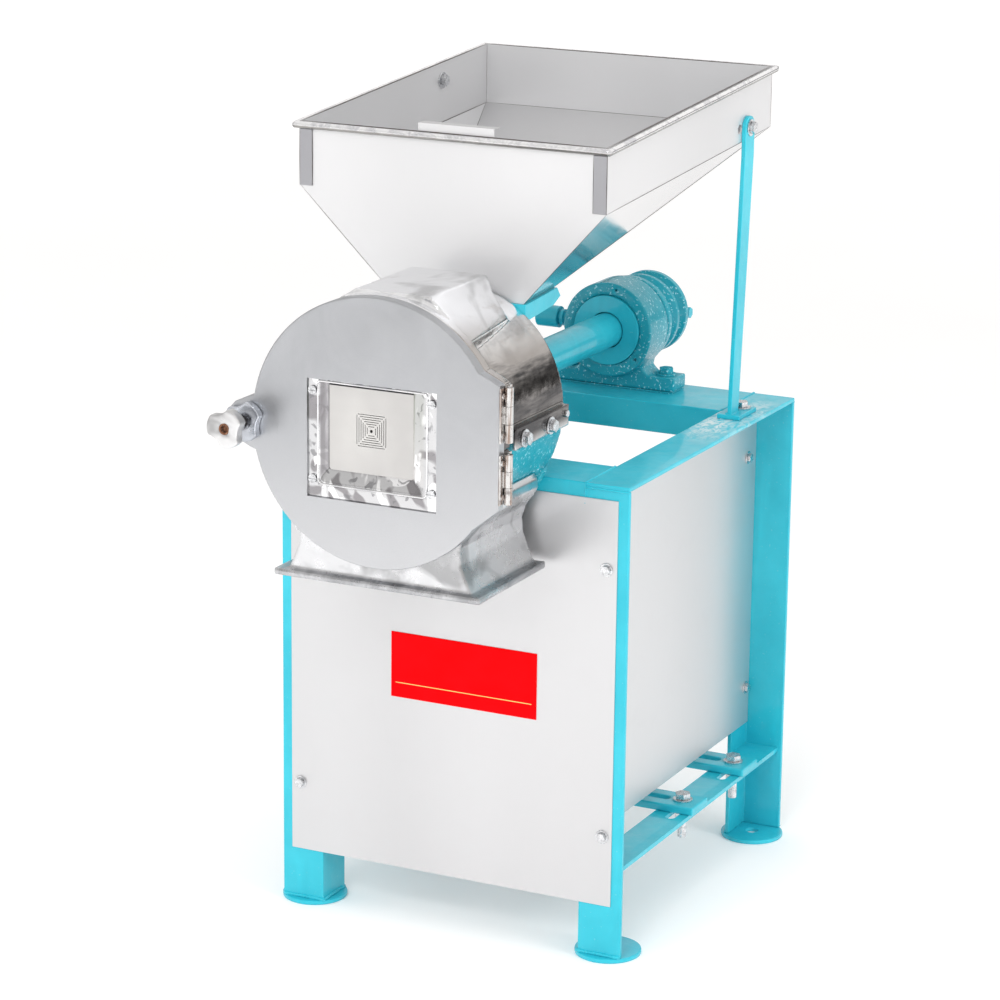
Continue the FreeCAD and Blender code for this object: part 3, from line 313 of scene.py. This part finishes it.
def cast_metal(name, tone=(0.92, 0.925, 0.94), rough=0.14, lump=0.0009, stain=0.40):
    """Aluminium casting, buffed by hand, with painted shade on the drum's right side and a darker band along
    the flange's lip.
    """
    g = Graph(name)
    cloud = g.noise(14.0, 3.0, 0.5, None, 0.9)
    grey = tuple(0.52 * value for value in tone)
    colour = g.mix(g.spread(cloud, 0.50, 0.64, 0.0, 0.9), tone, grey)
    soot = g.noise(60.0, 5.0, 0.65, g.stretched((1.0, 0.28, 1.0)), 0.5)
    colour = g.mix(g.spread(soot, 0.60, 0.74, 0.0, stain), colour, (0.30, 0.24, 0.20))
    across, _, height = g.split(g.place)
    # painted shade: the drum's right side above the joint of the casing is darkened, more towards the joint,
    # and near black below a ragged edge
    shaded_flank = g.calc("MULTIPLY", g.spread(across, 0.070, 0.100), g.spread(height, 0.575, 0.590))
    colour = g.mix(g.calc("MULTIPLY", shaded_flank, 0.8), colour, (0.40, 0.365, 0.335))
    run = g.noise(42.0, 4.0, 0.65, g.stretched((1.3, 0.18, 1.3)), 0.4)
    edge = g.calc("ADD", height, g.spread(run, 0.3, 0.7, -0.012, 0.012))
    shaded_flank = g.calc("MULTIPLY", shaded_flank, g.spread(edge, 0.656, 0.640))
    share = g.calc("MULTIPLY", shaded_flank, g.spread(run, 0.66, 0.44, 0.55, 0.97))
    colour = g.mix(share, colour, (0.055, 0.053, 0.056))
    # the lip of the spout's flange
    lip = g.calc("MULTIPLY", g.spread(height, 0.441, 0.438), g.spread(run, 0.40, 0.60, 0.35, 0.9))
    colour = g.mix(lip, colour, (0.36, 0.365, 0.38))
    value = g.spread(g.noise(70.0, 3.0, 0.6), 0.3, 0.7, rough - 0.05, rough + 0.10)
    normal = g.bump(g.noise(36.0, 2.0, 0.5), lump)
    normal = g.bump(g.noise(160.0, 3.0, 0.6), lump * 0.08, normal)
    scratch = g.noise(1.0, 2.0, 0.6, g.stretched((160.0, 900.0, 160.0), (0.4, 0.2, 0.5)))
    normal = g.bump(scratch, 0.000012, normal)
    return g.finish(colour, value, normal, Metallic=1.0)


def turned_face(name):
    """A skimmed aluminium face: fine rings round the rotor's axis, over cloudy hand polish."""
    g = Graph(name)
    x, _, z = g.split(g.place)
    radius = g.distance(x, g.calc("SUBTRACT", z, AXIS_Z))
    rings = g.add("ShaderNodeTexNoise", noise_dimensions="1D")
    g.feed(rings.inputs["W"], radius)
    rings.inputs["Scale"].default_value = 900.0
    rings.inputs["Detail"].default_value = 3.0
    ring = rings.outputs["Fac"]
    cloud = g.noise(13.0, 5.0, 0.62, None, 0.7)
    colour = g.mix(g.spread(cloud, 0.35, 0.68), (0.45, 0.46, 0.48), (0.51, 0.52, 0.54))
    # painted reflection: the face grows lighter towards its foot
    colour = g.mix(g.spread(z, 0.62, 0.47, 0.0, 0.8), colour, (0.61, 0.615, 0.63))
    fine = g.noise(900.0, 2.0, 0.7)
    colour = g.mix(g.spread(fine, 0.35, 0.75, 0.0, 0.16), colour, (0.42, 0.43, 0.45))
    value = g.calc("ADD", g.spread(ring, 0.3, 0.7, 0.30, 0.40), g.spread(cloud, 0.3, 0.7, -0.03, 0.06))
    normal = g.bump(fine, 0.000006, g.bump(ring, 0.000002))
    normal = g.bump(g.noise(9.0, 1.0), 0.0004, normal)
    return g.finish(colour, value, normal, Metallic=1.0)


def zinc(name, tone=(0.80, 0.81, 0.83), rough=0.24):
    """Zinc plate, or ground steel, with dull patches."""
    g = Graph(name)
    patch = g.noise(260.0, 4.0, 0.6)
    dull = tuple(0.55 * value for value in tone)
    colour = g.mix(g.spread(patch, 0.40, 0.72), tone, dull)
    value = g.spread(g.noise(500.0, 3.0), 0.3, 0.7, rough - 0.06, rough + 0.12)
    normal = g.bump(g.noise(620.0, 4.0, 0.6), 0.00018)
    return g.finish(colour, value, normal, Metallic=1.0)


def dark_steel(name, tone=(0.34, 0.34, 0.36), rough=0.38):
    """Unplated steel, browned in patches."""
    g = Graph(name)
    patch = g.noise(70.0, 5.0, 0.65, None, 0.6)
    rust = tuple(a * b for a, b in zip(tone, (0.72, 0.60, 0.52)))
    colour = g.mix(g.spread(patch, 0.42, 0.7), tone, rust)
    value = g.spread(g.noise(180.0, 4.0), 0.3, 0.7, rough - 0.1, rough + 0.15)
    normal = g.bump(g.noise(300.0, 4.0, 0.6), 0.00022)
    return g.finish(colour, value, normal, Metallic=1.0)


def red_label(name):
    """Red enamel plate with one thin gold rule near its foot."""
    g = Graph(name)
    low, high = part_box("label_plate")
    x, _, z = g.split(g.place)
    middle, half = (low.x + high.x) / 2, (high.x - low.x) / 2
    above = g.calc("ABSOLUTE", g.calc("SUBTRACT", z, low.z + 0.0165))
    side = g.calc("ABSOLUTE", g.calc("SUBTRACT", x, middle))
    line = g.calc("MULTIPLY", g.spread(above, 0.00052, 0.00036), g.spread(side, half - 0.0052, half - 0.006))
    cloud = g.noise(40.0, 3.0)
    colour = g.mix(g.spread(cloud, 0.3, 0.7), (0.86, 0.0, 0.002), (0.96, 0.001, 0.004))
    colour = g.mix(line, colour, (0.86, 0.62, 0.20))
    normal = g.bump(g.noise(120.0, 3.0), 0.00005)
    return g.finish(colour, g.spread(cloud, 0.3, 0.7, 0.34, 0.42), normal, Specular_IOR_Level=0.04)


def brown_bore(name):
    """The rusty thread inside the knob."""
    g = Graph(name)
    patch = g.noise(500.0, 4.0, 0.7)
    colour = g.mix(g.spread(patch, 0.35, 0.65), (0.16, 0.07, 0.04), (0.34, 0.17, 0.10))
    return g.finish(colour, g.spread(patch, 0.3, 0.7, 0.45, 0.7), g.bump(patch, 0.0002), Metallic=0.6)


# centres and half sizes of the worn patches on the side rails; the broad one on the right rail's rear is made
# large to stand in for a painted reflection as well
RAIL_SCUFFS_AND_SHEEN = (((0.178, 0.095, 0.522), (0.034, 0.115, 0.02)), ((-0.178, 0.05, 0.522), (0.026, 0.06, 0.02)))
MATS = {
    "teal": teal("teal_enamel"),
    "teal_worn_and_sheen": teal("teal_enamel_worn_and_sheen", scuffs_and_sheen=RAIL_SCUFFS_AND_SHEEN),
    "teal_cast_shaded": teal("teal_on_casting_shaded", cast_shaded=True),
    "panel": sheet_steel("panel_sheet", (0.71, 0.71, 0.72), 0.40, metal=0.80),
    "hopper": sheet_steel("hopper_sheet", (0.75, 0.75, 0.76), 0.36, metal=0.92, under=0.09),
    "rim": rolled_sheet("rolled_sheet"),
    "seam": dark_steel("seam_grime", (0.20, 0.19, 0.185), 0.5),
    "strip": sheet_steel("strip_sheet", (0.44, 0.44, 0.465), 0.34),
    "window": pressed_sheet("pressed_sheet"),
    "vent": vent_sheet("vent_sheet"),
    "bright": sheet_steel("bright_sheet", (0.92, 0.92, 0.93), 0.10, False, blotch=(0.66, 0.66, 0.68)),
    "casting": cast_metal("buffed_casting"),
    "spout": cast_metal("satin_casting", (0.72, 0.725, 0.74), 0.27, 0.0004, 0.2),
    "knob": cast_metal("knob_casting", (0.76, 0.76, 0.765), 0.32, 0.0002, 0.05),
    "lock": cast_metal("lock_casting", (0.70, 0.73, 0.79), 0.20, 0.0003, 0.1),
    "door": turned_face("skimmed_face"),
    "zinc": zinc("zinc_plate"),
    "hinge": hinge_steel("hinge_steel"),
    "ground": zinc("ground_steel", (0.82, 0.82, 0.84), 0.14),
    "dark": dark_steel("working_steel"),
    "thread": dark_steel("thread_steel", (0.16, 0.16, 0.17), 0.3),
    "label": red_label("label_enamel"),
    "bore": brown_bore("threaded_bore"),
}


# Finishing the CAD nodes


def paint(name, material):
    """Gives a CAD node one of the materials, in place of its own."""
    mesh = nodes[name].data
    mesh.materials.clear()
    mesh.materials.append(MATS[material])


def welded(name, material):
    """Painted, with the corners that the import keeps apart joined again."""
    paint(name, material)
    mesh = nodes[name].data
    if "custom_normal" in mesh.attributes:
        mesh.attributes.remove(mesh.attributes["custom_normal"])
    mesh.shade_smooth()
    weld = nodes[name].modifiers.new("join", "WELD")
    weld.merge_threshold = SAME_POINT
    return nodes[name]


def eased(name, material, width):
    """Small rounds on every sharp edge, so that it catches the light as worked metal does."""
    item = welded(name, material)
    flat = item.modifiers.new("flat", "DECIMATE")
    flat.decimate_type = "DISSOLVE"
    flat.angle_limit = FLAT_ANGLE
    soft = item.modifiers.new("ease", "BEVEL")
    soft.width = width
    soft.segments = 2
    soft.limit_method = "ANGLE"
    soft.angle_limit = math.radians(28.0)
    soft.use_clamp_overlap = True
    soft.harden_normals = True
    soft.miter_outer = "MITER_ARC"


def melted(name, material, voxel, passes):
    """A casting's softened edges and corners, from a fine remesh that is smoothed."""
    item = welded(name, material)
    grid = item.modifiers.new("grid", "REMESH")
    grid.mode = "VOXEL"
    grid.voxel_size = voxel
    grid.use_smooth_shade = True
    relax = item.modifiers.new("relax", "SMOOTH")
    relax.factor = 0.5
    relax.iterations = passes


EASED = {
    "teal": ("leg_front_right leg_front_left leg_rear_right leg_rear_left foot_discs front_rail rear_rail "
             "lower_rail_right lower_rail_left feed_chute strut_right strut_left grease_cup grease_cap shaft "
             "bearing_covers set_screw"),
    "teal_worn_and_sheen": "side_rail_right side_rail_left",
    "teal_cast_shaded": "pulley pedestal_fixings",
    "panel": "front_panel side_panel_right side_panel_left",
    "hopper": "hopper_shell feed_gate",
    "strip": "hopper_fittings",
    "door": "door",
    "zinc": "motor_plate_bolts panel_bolts casing_bolts strut_bolts window_screws",
    "hinge": "casing_hinges door_hinge_leaves",
    "ground": "bearing_outer_rings bearing_inner_rings bearing_balls hammer_pins",
    "dark": "rotor_discs hammer_row_1 hammer_row_2 hammer_row_3 hammer_row_4 screen",
    "label": "label_plate",
}
# widths of the rounds in mm, where they aren't 0.5
WIDTHS = {
    "leg_front_right": 1.2, "leg_front_left": 1.2, "leg_rear_right": 1.2, "leg_rear_left": 1.2,
    "front_rail": 1.5, "rear_rail": 1.5, "side_rail_right": 1.3, "side_rail_left": 1.3, "foot_discs": 1.4,
    "lower_rail_right": 0.9, "lower_rail_left": 0.9, "strut_right": 0.9, "strut_left": 0.9,
    "hopper_shell": 0.3, "front_panel": 0.35, "side_panel_right": 0.35, "side_panel_left": 0.35,
    "label_plate": 0.2, "pulley": 0.9, "screen": 0.15, "feed_gate": 0.3,
    "door": 0.4, "bearing_balls": 0.05,
}
for look, names in EASED.items():
    for node_name in names.split():
        eased(node_name, look, WIDTHS.get(node_name, 0.5) * MM)
paint("vent_plate", "vent")
for node_name, look, voxel_size, smoothings in (
    ("upper_casing", "casting", 0.0016, 3),
    ("spout", "spout", 0.0016, 3),
    ("lower_casing", "teal_cast_shaded", 0.0022, 4),
    ("front_bearing_housing", "teal_cast_shaded", 0.0016, 5),
    ("rear_bearing_housing", "teal_cast_shaded", 0.0016, 5),
    ("motor_plates_right", "teal", 0.0011, 6),
    ("motor_plates_left", "teal", 0.0011, 6),
):
    melted(node_name, look, voxel_size, smoothings)


# Hand-made pieces


def piece(name, mesh, material, body):
    """A new object in the row's frame that rides on a body."""
    item = bpy.data.objects.new(name, mesh)
    scene.collection.objects.link(item)
    mesh.materials.append(MATS[material])
    mesh.shade_smooth()
    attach(item, body)
    return item


def smoothed(item, levels):
    soft = item.modifiers.new("smooth", "SUBSURF")
    soft.levels = levels
    soft.render_levels = levels


def band(bm, rings, closed_way=False):
    """Faces from each ring of points to the next, all with the same count; gives the rings' vertices."""
    rows = [[bm.verts.new(point) for point in ring] for ring in rings]
    for first, second in zip(rows, rows[1:] + rows[:1] if closed_way else rows[1:]):
        for index in range(len(first)):
            after = (index + 1) % len(first)
            bm.faces.new((first[index], first[after], second[after], second[index]))
    return rows


def as_mesh(name, bm):
    """The finished mesh, with its normals pointing out."""
    bmesh.ops.recalc_face_normals(bm, faces=bm.faces)
    mesh = bpy.data.meshes.new(name)
    bm.to_mesh(mesh)
    bm.free()
    return mesh


def skin(name, rings, closed_way=False, caps=False):
    """A mesh through rings of points."""
    bm = bmesh.new()
    rows = band(bm, rings, closed_way)
    if caps:
        bm.faces.new(list(reversed(rows[0])))
        bm.faces.new(rows[-1])
    return as_mesh(name, bm)


def walk(points, step, closed=False):
    """Points spaced evenly along straight runs."""
    path = [Vector(point) for point in points]
    if closed:
        path.append(path[0].copy())
    found = []
    for start, end in zip(path, path[1:]):
        count = max(1, round((end - start).length / step))
        for index in range(count):
            found.append(start.lerp(end, index / count))
    if not closed:
        found.append(path[-1])
    return found


TAPER = {0: 0.35, 1: 0.75, 2: 0.92}  # the first and last rings of an open path, as shares of its radius
DENTS = 170.0  # how close the dents of a rough path are


def sweep(points, radius, sides=10, closed=False, squash=1.0, rough=0.0, ripple=0.0, pitch=0.004, seed=0.0):
    """Rings round a path; rough dents it and ripple gives a weld's scales."""
    rings = []
    count = len(points)
    length = 0.0
    for index, here in enumerate(points):
        before = points[index - 1] if closed or index else here
        after = points[(index + 1) % count] if closed or index < count - 1 else here
        way = (after - before).normalized()
        side = way.cross(Vector((0.0, 0.0, 1.0)))
        if side.length < 0.1:
            side = way.cross(Vector((1.0, 0.0, 0.0)))
        side.normalize()
        top = side.cross(way).normalized()
        length += (here - points[index - 1]).length if index else 0.0
        scale = 1.0 + ripple * (abs(math.sin(math.pi * length / pitch)) - 0.5)
        if not closed:
            scale *= TAPER.get(min(index, count - 1 - index), 1.0)
        ring = []
        for part in range(sides):
            angle = math.tau * part / sides
            out = side * math.cos(angle) + top * (math.sin(angle) * squash)
            spot = here + out * radius * scale
            if rough:
                spot += out * radius * rough * noise.noise(spot * DENTS + Vector((seed, 0.0, 0.0)))
            ring.append(spot)
        rings.append(ring)
    return rings


def bead(name, points, radius, seed):
    """A painted weld bead along straight runs."""
    rings = sweep(walk(points, radius * 0.5), radius, 9, False, 0.8, 0.45, 0.4, radius * 1.7, seed)
    piece(name, skin(name, rings, caps=True), "teal", "root")


# Welds of the stand

legs = ("leg_front_right", "leg_front_left", "leg_rear_right", "leg_rear_left")
for number, leg in enumerate(legs):
    low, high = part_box(leg)
    out_y = low.y if "front" in leg else high.y
    in_y = high.y if "front" in leg else low.y
    outer_x = high.x if "right" in leg else low.x
    inner_x = low.x if "right" in leg else high.x
    floor_z = low.z + 0.0012
    # the angle's heel is on the inner side, so its two arms run from there
    foot = [(outer_x, out_y, floor_z), (inner_x, out_y, floor_z), (inner_x, in_y, floor_z)]
    bead(f"weld_foot_{number}", foot, 0.0024, 3.1 * number)
    bead(f"weld_top_{number}", [(outer_x, out_y, high.z), (inner_x, out_y, high.z)], 0.0016, 7.7 * number)

rail_ends = (("front_rail", -1), ("front_rail", 1), ("rear_rail", -1), ("rear_rail", 1))
for number, (rail, side) in enumerate(rail_ends):
    low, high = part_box(rail)
    edge = low.x if side < 0 else high.x
    face = low.y if rail == "front_rail" else high.y
    inner = high.y if rail == "front_rail" else low.y
    corner = [(edge, face, low.z + 0.004), (edge, face, high.z), (edge, inner, high.z)]
    bead(f"weld_rail_{number}", corner, 0.0013, 11.3 * number)

for number, (strut, side) in enumerate((("strut_right", 1), ("strut_left", -1))):
    low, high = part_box(strut)
    weld_x = 0.1785 * side - 0.004
    base = low.z + 0.0052
    bead(f"weld_strut_{number}", [(weld_x, low.y + 0.004, base), (weld_x, low.y + 0.022, base)], 0.0017,
         2.0 + number)


# Hopper: rolled rim and folded corners


def hopper_rim():
    low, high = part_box("hopper_rim")
    radius = 0.0035
    front_z, rear_z = low.z + radius, high.z - radius
    corners = [
        (low.x + radius, low.y + radius, front_z), (high.x - radius, low.y + radius, front_z),
        (high.x - radius, high.y - radius, rear_z), (low.x + radius, high.y - radius, rear_z),
    ]
    path = walk(corners, 0.0022, True)
    rings = sweep(path, radius * 1.04, 14, True, 1.0, 0.05, seed=4.0)
    made = piece("rolled_rim", skin("rolled_rim", rings, True), "rim", "root")
    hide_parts("hopper_rim")


def seams(name, source, radius, shortest, sharpest):
    """Thin dark lines in the folds and along the cut edges of a sheet part."""
    bm = bmesh.new()
    bm.from_mesh(nodes[source].data)
    bmesh.ops.remove_doubles(bm, verts=bm.verts, dist=SAME_POINT)
    bmesh.ops.dissolve_limit(bm, angle_limit=FLAT_ANGLE, verts=bm.verts, edges=bm.edges)
    lines = bmesh.new()
    for edge in bm.edges:
        if (edge.calc_length() > shortest and len(edge.link_faces) == 2
                and edge.calc_face_angle() > sharpest):
            run = [vert.co.copy() for vert in edge.verts]
            band(lines, sweep(walk(run, 0.03), radius, 6))
    bm.free()
    piece(name, as_mesh(name, lines), "seam", "root")


hopper_rim()
seams("hopper_seams", "hopper_shell", 0.00036, 0.04, math.radians(20.0))
seams("fitting_seams", "hopper_fittings", 0.00032, 0.02, math.radians(60.0))


# Door: pressed window frame


def round_rect(left, right, low, high, radius_low, radius_high, y):
    """A rounded rectangle in the door's plane, with a fixed number of points."""
    per_side, per_corner = 10, 6
    corners = [
        (left + radius_low, low + radius_low, radius_low, 180.0),
        (right - radius_low, low + radius_low, radius_low, 270.0),
        (right - radius_high, high - radius_high, radius_high, 0.0),
        (left + radius_high, high - radius_high, radius_high, 90.0),
    ]
    arcs = []
    for x, z, radius, start in corners:
        angles = [math.radians(start + 90.0 * index / per_corner) for index in range(per_corner + 1)]
        arcs.append([Vector((x + radius * math.cos(angle), y, z + radius * math.sin(angle)))
                     for angle in angles])
    points = []
    for index, arc in enumerate(arcs):
        points += arc
        following = arcs[(index + 1) % 4][0]
        for part in range(1, per_side):
            points.append(arc[-1].lerp(following, part / per_side))
    return points


def window_frame():
    low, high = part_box("window_frame")
    front, rear = low.y, high.y
    left, right, foot, head = low.x, high.x, low.z, high.z
    # insets at the left, right, foot and head, the radii of the lower and upper corners, and the depth
    steps = (
        (0.0004, 0.0004, 0.0004, 0.0004, 0.001, 0.001, front + 0.0014),
        (0.0, 0.0, 0.0, 0.0, 0.001, 0.001, front + 0.0011),
        (0.0003, 0.0003, 0.0003, 0.0003, 0.001, 0.001, front + 0.0007),
        (0.0060, 0.0060, 0.0070, 0.0006, 0.003, 0.001, front + 0.0008),
        (0.0105, 0.0100, 0.0125, 0.0010, 0.005, 0.002, front + 0.0006),
        (0.0118, 0.0112, 0.0140, 0.0014, 0.006, 0.003, front + 0.0012),
        (0.0132, 0.0126, 0.0156, 0.0020, 0.006, 0.003, front + 0.0007),
        (0.0175, 0.0215, 0.0228, 0.0028, 0.006, 0.003, front + 0.6 * (rear - front)),
        (0.0214, 0.0280, 0.0280, 0.0036, 0.003, 0.002, rear - 0.0006),
        (0.0222, 0.0290, 0.0292, 0.0040, 0.003, 0.002, rear),
    )
    rings = [round_rect(left + a, right - b, foot + c, head - d, *rest) for a, b, c, d, *rest in steps]
    # the flat border is a little wavy
    for number, ring in enumerate(rings[2:5]):
        for point in ring:
            wave = noise.noise(Vector((point.x * 46.0, number * 0.6, point.z * 46.0)))
            point.y += 0.0005 * wave
    made = piece("pressed_frame", skin("pressed_frame", rings), "window", "door")
    solid = made.modifiers.new("thick", "SOLIDIFY")
    solid.thickness = 0.0006
    solid.offset = 0.0
    smoothed(made, 2)
    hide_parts("window_frame")
    path = round_rect(left + 0.0118, right - 0.0112, foot + 0.0140, head - 0.0020, 0.006, 0.003,
                      front + 0.0002)
    rings = sweep(path, 0.0011, closed=True, rough=0.05)
    piece("frame_bead", skin("frame_bead", rings, True), "bright", "door")


window_frame()


# Knob: a three-lobed star, a lock star and a threaded stud

KNOB_X, KNOB_Z = -0.146, 0.591
LOBE = math.tau / 3.0
LOBE_TURN = math.radians(50)
LOBE_HOLLOW = 0.022  # radius of the hollows between the lobes
LOBE_EDGE = 2400.0  # how sharply a hollow meets a lobe's tip
CROWN = 0.0003  # how far a face rises from its rim to its bore


def turned(radii, y):
    """A ring of points about the knob's axis, one for each radius."""
    angles = [math.tau * index / len(radii) for index in range(len(radii))]
    return [(KNOB_X + radius * math.cos(angle), y, KNOB_Z + radius * math.sin(angle))
            for radius, angle in zip(radii, angles)]


def lobed(name, material, front, thick, tip, waist, bore):
    """A star in three broad lobes: its outline swells and narrows, and its faces are crowned."""
    count = 96
    # depth through the star, and share of the way from its bore to its outline
    edge_steps = [(0.0, 0.90), (0.02, 0.955), (0.09, 0.995), (0.5, 1.0), (0.91, 0.995), (0.98, 0.955),
                  (1.0, 0.90)]
    bore_steps = [(1.0, 0.42), (1.0, 0.0), (0.5, 0.0), (0.0, 0.0), (0.0, 0.42)]
    away = waist + LOBE_HOLLOW

    def outline(angle):
        nearest = (angle - LOBE_TURN - LOBE / 2.0) % LOBE
        off = min(nearest, LOBE - nearest)
        square = LOBE_HOLLOW * LOBE_HOLLOW - (away * math.sin(off)) ** 2
        if square <= 0.0:
            return tip
        hollow = away * math.cos(off) - math.sqrt(square)
        return -math.log(math.exp(-hollow * LOBE_EDGE) + math.exp(-tip * LOBE_EDGE)) / LOBE_EDGE

    outlines = [outline(math.tau * index / count) for index in range(count)]
    rings = []
    for depth, share in edge_steps + bore_steps:
        bulge = CROWN * (1.0 - share) * (1 if depth > 0.5 else -1)
        radii = [bore * (1 - share) + edge * share for edge in outlines]
        rings.append(turned(radii, front + thick * depth + bulge))
    made = piece(name, skin(name, rings, True), material, "knob")
    smoothed(made, 1)
    return made


def lathe(name, profile, material, capped=False):
    """Turns (radius, y) pairs about the knob's axis."""
    rings = [turned([radius] * 48, y) for radius, y in profile]
    piece(name, skin(name, rings, False, capped), material, "knob")


def knob_parts():
    low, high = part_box("star_knob")
    star = lobed("star_knob_cast", "knob", low.y + 0.0006, 0.0120, 0.0207, 0.0156, 0.0036)
    neck = [(0.0115, low.y + 0.010), (0.0098, low.y + 0.0135), (0.0086, low.y + 0.017),
            (0.0084, high.y - 0.0008), (0.0076, high.y), (0.0052, high.y), (0.0052, low.y + 0.012)]
    lathe("knob_neck", neck, "knob")
    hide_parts("star_knob")
    socket = [(0.0058, low.y + 0.0012), (0.0056, low.y + 0.0004), (0.0044, low.y + 0.0004),
              (0.0040, low.y + 0.0014), (0.0038, low.y + 0.006), (0.0002, low.y + 0.006)]
    lathe("knob_socket", socket, "bore")
    low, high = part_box("lock_star")
    lock = lobed("lock_star_cast", "lock", low.y, high.y - low.y, 0.0212, 0.0160, 0.0050)
    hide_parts("lock_star")


def stud():
    """The threaded stud, and the clip at its rear end."""
    low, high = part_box("knob_stud")
    pitch, count, root, crest = 0.0016, 24, 0.0043, 0.0050
    start, stop = low.y + 0.009, high.y - 0.0022
    steps = int((stop - start) / (pitch / 6))
    rings = []
    for step in range(steps + 1):
        y = start + (stop - start) * step / steps
        phases = [(y / pitch - index / count) % 1.0 for index in range(count)]
        rings.append(turned([root + (crest - root) * abs(2.0 * phase - 1.0) for phase in phases], y))
    made = piece("threaded_stud", skin("threaded_stud", rings, False, True), "thread", "knob")
    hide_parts("knob_stud")
    clip = [(0.0052, high.y - 0.0024), (0.0072, high.y - 0.0024), (0.0075, high.y - 0.0020),
            (0.0075, high.y - 0.0003), (0.0072, high.y), (0.0030, high.y)]
    lathe("stud_clip", clip, "zinc", True)


knob_parts()
stud()


# Floor, light and surroundings


def add_floor():
    """A light paper floor that glows as painted light, more the farther it is from the mill."""
    mesh = bpy.data.meshes.new("floor")
    size = 30.0
    corners = [(-size, -size, 0.0), (size, -size, 0.0), (size, size, 0.0), (-size, size, 0.0)]
    mesh.from_pydata(corners, [], [(0, 1, 2, 3)])
    floor = bpy.data.objects.new("floor", mesh)
    scene.collection.objects.link(floor)
    g = Graph("floor_paper")
    cloud = g.noise(1.5, 2.0)
    colour = g.mix(g.spread(cloud, 0.3, 0.7), (0.91, 0.91, 0.915), (0.93, 0.93, 0.93))
    x, y, _ = g.split(g.place)
    # painted light: the floor glows, more the farther it is from the mill
    g.feed(g.bsdf.inputs["Emission Strength"], g.spread(g.distance(x, y), 2.5, 8.0, 0.12, 0.36))
    g.bsdf.inputs["Emission Color"].default_value = (1.0, 1.0, 1.0, 1.0)
    mesh.materials.append(g.finish(colour, 0.8, Specular_IOR_Level=0.1))
    floor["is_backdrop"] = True


def add_light(name, place, target, size, power, mirrored=False):
    """An area light; polished metal mirrors it only if mirrored is set."""
    data = bpy.data.lights.new(name, "AREA")
    data.shape = "RECTANGLE"
    data.size, data.size_y = size
    data.energy = power
    lamp = bpy.data.objects.new(name, data)
    scene.collection.objects.link(lamp)
    lamp.location = place
    lamp.visible_glossy = mirrored
    aim = Vector(target) - Vector(place)
    lamp.rotation_euler = aim.to_track_quat("-Z", "Y").to_euler()


def add_world():
    """Surroundings in bands by height: one set in front of the mill, and a darker one low behind it."""
    world = bpy.data.worlds.new("studio")
    scene.world = world
    world.use_nodes = True
    tree = world.node_tree
    back = tree.nodes["Background"]
    coord = tree.nodes.new("ShaderNodeTexCoord")
    split = tree.nodes.new("ShaderNodeSeparateXYZ")
    tree.links.new(coord.outputs["Generated"], split.inputs[0])
    bands = []
    for stops in (
        [(0.0, 0.75), (0.08, 0.80), (0.25, 1.0), (0.50, 0.80), (0.75, 1.0), (1.0, 0.9)],
        [(0.0, 0.30), (0.03, 0.10), (0.10, 0.14), (0.20, 0.95), (0.40, 1.15), (1.0, 0.95)],
    ):
        height = tree.nodes.new("ShaderNodeValToRGB")
        tree.links.new(split.outputs["Z"], height.inputs[0])
        ramp = height.color_ramp
        while len(ramp.elements) < len(stops):
            ramp.elements.new(0.5)
        for element, (place, value) in zip(ramp.elements, stops):
            element.position = place
            element.color = (value, value * 0.985, value * 0.97, 1.0)
        bands.append(height.outputs["Color"])
    behind = tree.nodes.new("ShaderNodeMapRange")
    tree.links.new(split.outputs["Y"], behind.inputs["Value"])
    behind.inputs["From Min"].default_value = 0.0
    behind.inputs["From Max"].default_value = 0.5
    blend = tree.nodes.new("ShaderNodeMix")
    blend.data_type = "RGBA"
    tree.links.new(behind.outputs["Result"], blend.inputs["Factor"])
    tree.links.new(bands[0], blend.inputs[6])
    tree.links.new(bands[1], blend.inputs[7])
    tree.links.new(blend.outputs[2], back.inputs["Color"])
    back.inputs["Strength"].default_value = 0.86


add_floor()
add_light("key", (0.2, -3.6, 2.6), (0.0, 0.0, 0.5), (2.6, 1.8), 74.0)
add_light("glint", (0.6, -3.4, 2.9), (0.0, 0.0, 0.6), (0.35, 0.35), 7.0, True)
add_light("side", (3.4, -0.6, 1.9), (0.0, 0.0, 0.5), (1.6, 1.6), 40.0)
add_light("left", (-3.2, -1.6, 1.7), (0.0, 0.0, 0.6), (1.4, 2.0), 12.0)
add_light("top", (0.3, 0.4, 3.6), (0.0, 0.0, 0.5), (2.4, 2.4), 9.0)
add_world()

low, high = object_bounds()
